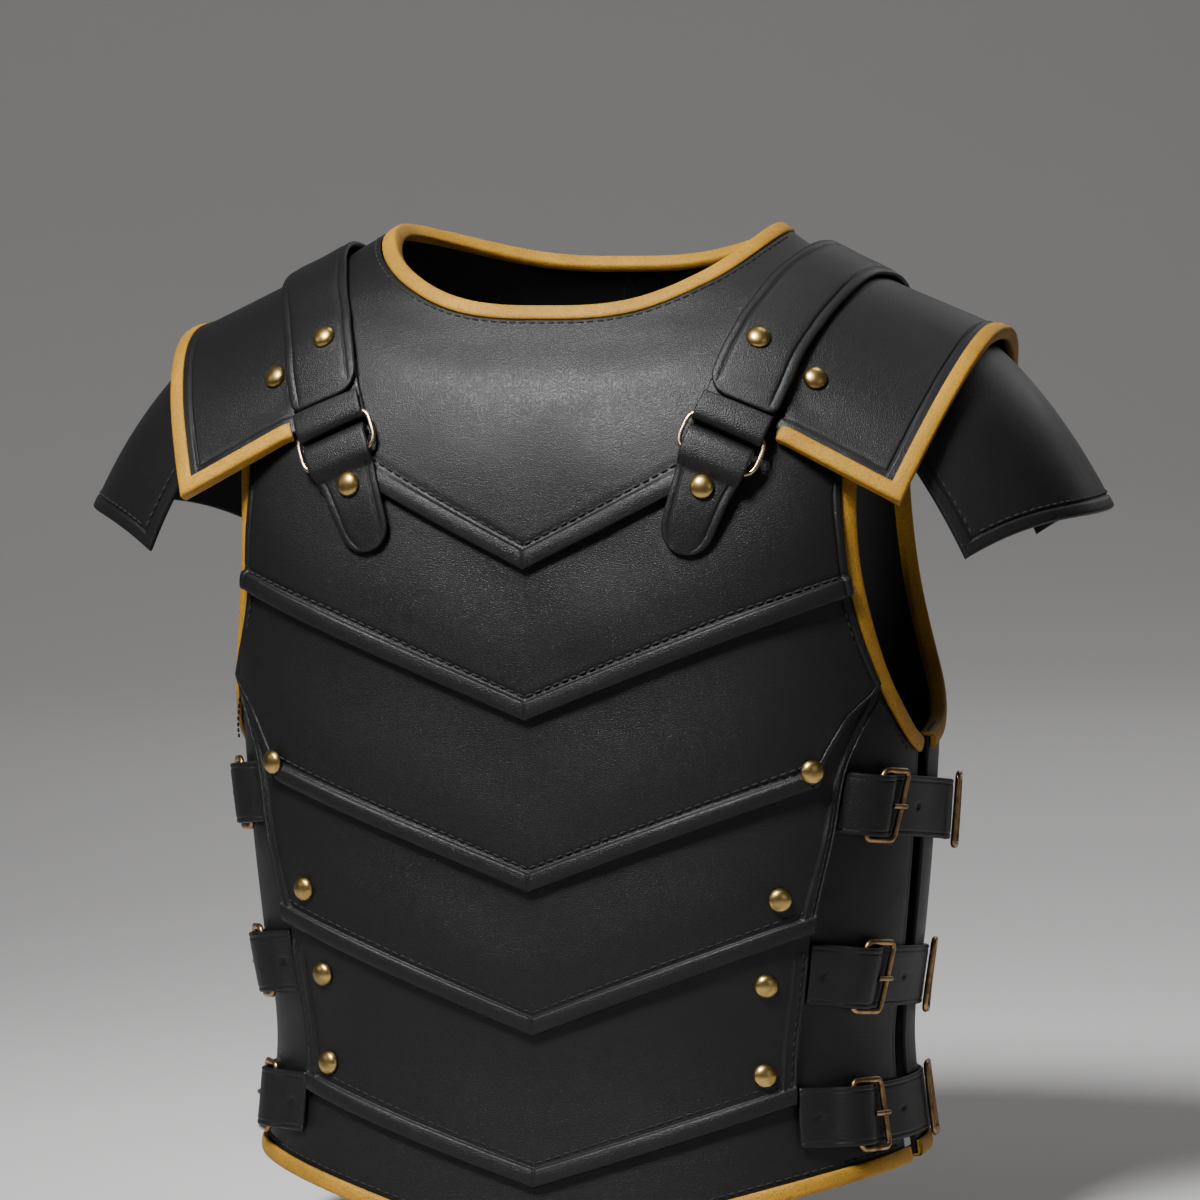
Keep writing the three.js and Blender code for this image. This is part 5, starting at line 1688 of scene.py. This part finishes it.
def make_lamps():
    looks = bpy.context.scene.cuirass_looks
    world = bpy.data.worlds.new("studio")
    world.use_nodes = True
    ground = world.node_tree.nodes["Background"]
    ground.inputs["Color"].default_value = (1.0, 0.985, 0.975, 1.0)
    ground.inputs["Strength"].default_value = looks.world_light
    bpy.context.scene.world = world
    for row in LIGHTS:
        light = dict(zip(LIGHT_COLUMNS, row))
        lamp = bpy.data.lights.new(light["name"], "AREA")
        lamp.shape = "DISK"
        lamp.size = light["size"]
        lamp.energy = light["power"] * looks.light_power
        lamp.spread = np.radians(light["spread"])
        lamp_object = in_scene(light["name"], lamp)
        lamp_object.location = light["place"]
        aim = Vector(light["target"]) - Vector(light["place"])
        lamp_object.rotation_euler = aim.to_track_quat("-Z", "Y").to_euler()


def make_camera():
    """The camera looks along its azimuth and elevation, rolled about that line."""
    azimuth, elevation, roll = np.radians([VIEW_AZIMUTH, VIEW_ELEVATION, VIEW_ROLL])
    right = np.array([np.cos(azimuth), np.sin(azimuth), 0.0])
    back = np.array([right[1] * np.cos(elevation), -right[0] * np.cos(elevation), np.sin(elevation)])
    up = np.cross(back, right)
    eye = right * VIEW_ASIDE + back * VIEW_DISTANCE + np.array([0, 0, VIEW_HEIGHT])
    turned = np.stack([right * np.cos(roll) - up * np.sin(roll),
                       right * np.sin(roll) + up * np.cos(roll), back], -1)
    lens = bpy.data.cameras.new("view")
    lens.sensor_width = SENSOR
    lens.lens = FOCAL_PIXELS / IMAGE_SIZE * SENSOR
    lens.dof.use_dof = False
    lens.clip_start = 0.1
    lens.clip_end = 60
    camera = in_scene("view", lens)
    camera.matrix_world = Matrix.Translation(Vector(eye)) @ Matrix(turned.tolist()).to_4x4()
    bpy.context.scene.camera = camera


def make_stage():
    """Pale floor and wall, soft lights and the camera."""
    make_floor()
    make_lamps()
    make_camera()


# ---- add-on -------------------------------------------------------------------


class CuirassLooks(bpy.types.PropertyGroup):
    """Sizes and colours that a user would change."""

    leather: bpy.props.FloatVectorProperty(
        name="Body leather", description="Colour of the body leather", subtype="COLOR",
        default=(0.0042, 0.0042, 0.0046), min=0, max=1)
    binding: bpy.props.FloatVectorProperty(
        name="Binding", description="Colour of the edge binding", subtype="COLOR",
        default=(0.34, 0.172, 0.012), min=0, max=1)
    brass: bpy.props.FloatVectorProperty(
        name="Brass", description="Colour of the rivets", subtype="COLOR",
        default=(0.52, 0.37, 0.13), min=0, max=1)
    grain_size: bpy.props.FloatProperty(
        name="Grain", description="Size of the leather's grain", default=0.001, min=0.0004, max=0.005,
        subtype="DISTANCE", unit="LENGTH", precision=5)
    stitch_pitch: bpy.props.FloatProperty(
        name="Stitch pitch", description="Length from stitch to stitch", default=0.0048, min=0.002,
        max=0.02, subtype="DISTANCE", unit="LENGTH", precision=5)
    stitch_length: bpy.props.FloatProperty(
        name="Stitch length", description="Length of a stitch", default=0.0036, min=0.001, max=0.02,
        subtype="DISTANCE", unit="LENGTH", precision=5)
    stitch_width: bpy.props.FloatProperty(
        name="Thread", description="Thickness of the thread", default=0.0013, min=0.0003, max=0.003,
        subtype="DISTANCE", unit="LENGTH", precision=5)
    light_power: bpy.props.FloatProperty(
        name="Lamps", description="Factor on the power of the lamps", default=1.0, min=0, max=10,
        subtype="FACTOR")
    world_light: bpy.props.FloatProperty(
        name="Surrounding light", description="Strength of the light all round", default=0.075,
        min=0, max=5, subtype="FACTOR")


class CUIRASS_OT_plates(bpy.types.Operator):
    """Makes the front and back plates."""

    bl_idname = "cuirass.plates"
    bl_label = "Plates"
    bl_options = {"REGISTER", "UNDO"}

    def execute(self, context):
        make_plates()
        return {"FINISHED"}


class CUIRASS_OT_lames(bpy.types.Operator):
    """Makes the bib and the four chevron lames."""

    bl_idname = "cuirass.lames"
    bl_label = "Lames"
    bl_options = {"REGISTER", "UNDO"}

    def execute(self, context):
        make_lames()
        return {"FINISHED"}


class CUIRASS_OT_bindings(bpy.types.Operator):
    """Makes the ochre bindings of every bound edge."""

    bl_idname = "cuirass.bindings"
    bl_label = "Bindings"
    bl_options = {"REGISTER", "UNDO"}

    def execute(self, context):
        make_bindings()
        return {"FINISHED"}


class CUIRASS_OT_flaps(bpy.types.Operator):
    """Makes the upper and lower shoulder flaps."""

    bl_idname = "cuirass.flaps"
    bl_label = "Shoulder flaps"
    bl_options = {"REGISTER", "UNDO"}

    def execute(self, context):
        make_flaps()
        return {"FINISHED"}


class CUIRASS_OT_shoulder_straps(bpy.types.Operator):
    """Makes the shoulder straps, ring rolls and tongues."""

    bl_idname = "cuirass.shoulder_straps"
    bl_label = "Shoulder straps"
    bl_options = {"REGISTER", "UNDO"}

    def execute(self, context):
        make_shoulder_straps()
        return {"FINISHED"}


class CUIRASS_OT_side_straps(bpy.types.Operator):
    """Makes the side straps and the buckles' tabs."""

    bl_idname = "cuirass.side_straps"
    bl_label = "Side straps"
    bl_options = {"REGISTER", "UNDO"}

    def execute(self, context):
        make_side_straps()
        return {"FINISHED"}


class CUIRASS_OT_brass(bpy.types.Operator):
    """Makes the rings, buckles, rear frames and rivets."""

    bl_idname = "cuirass.brass"
    bl_label = "Brass"
    bl_options = {"REGISTER", "UNDO"}

    def execute(self, context):
        make_brass()
        return {"FINISHED"}


class CUIRASS_OT_stitching(bpy.types.Operator):
    """Makes the rows of stitches."""

    bl_idname = "cuirass.stitching"
    bl_label = "Stitching"
    bl_options = {"REGISTER", "UNDO"}

    def execute(self, context):
        make_stitching()
        return {"FINISHED"}


class CUIRASS_OT_stage(bpy.types.Operator):
    """Makes the floor, the lamps and the camera."""

    bl_idname = "cuirass.stage"
    bl_label = "Stage"
    bl_options = {"REGISTER", "UNDO"}

    def execute(self, context):
        make_stage()
        return {"FINISHED"}


OPERATORS = (
    CUIRASS_OT_plates,
    CUIRASS_OT_lames,
    CUIRASS_OT_bindings,
    CUIRASS_OT_flaps,
    CUIRASS_OT_shoulder_straps,
    CUIRASS_OT_side_straps,
    CUIRASS_OT_brass,
    CUIRASS_OT_stitching,
    CUIRASS_OT_stage,
)


class CUIRASS_PT_pieces(bpy.types.Panel):
    """Lists the pieces and their settings in the sidebar."""

    bl_idname = "CUIRASS_PT_pieces"
    bl_label = "Leather cuirass"
    bl_space_type = "VIEW_3D"
    bl_region_type = "UI"
    bl_category = "Cuirass"

    def draw(self, context):
        looks = context.scene.cuirass_looks
        for name in CuirassLooks.__annotations__:
            self.layout.prop(looks, name)
        for made in OPERATORS:
            self.layout.operator(made.bl_idname)


CLASSES = (CuirassLooks, *OPERATORS, CUIRASS_PT_pieces)


def register():
    for made in CLASSES:
        bpy.utils.register_class(made)
    bpy.types.Scene.cuirass_looks = bpy.props.PointerProperty(type=CuirassLooks)


def unregister():
    del bpy.types.Scene.cuirass_looks
    for made in reversed(CLASSES):
        bpy.utils.unregister_class(made)


def main():
    """Builds every piece in order."""
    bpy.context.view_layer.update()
    register()
    bpy.ops.cuirass.plates()
    bpy.ops.cuirass.lames()
    bpy.ops.cuirass.bindings()
    bpy.ops.cuirass.flaps()
    bpy.ops.cuirass.shoulder_straps()
    bpy.ops.cuirass.side_straps()
    bpy.ops.cuirass.brass()
    bpy.ops.cuirass.stitching()
    bpy.ops.cuirass.stage()


if __name__ == "__main__":
    main()
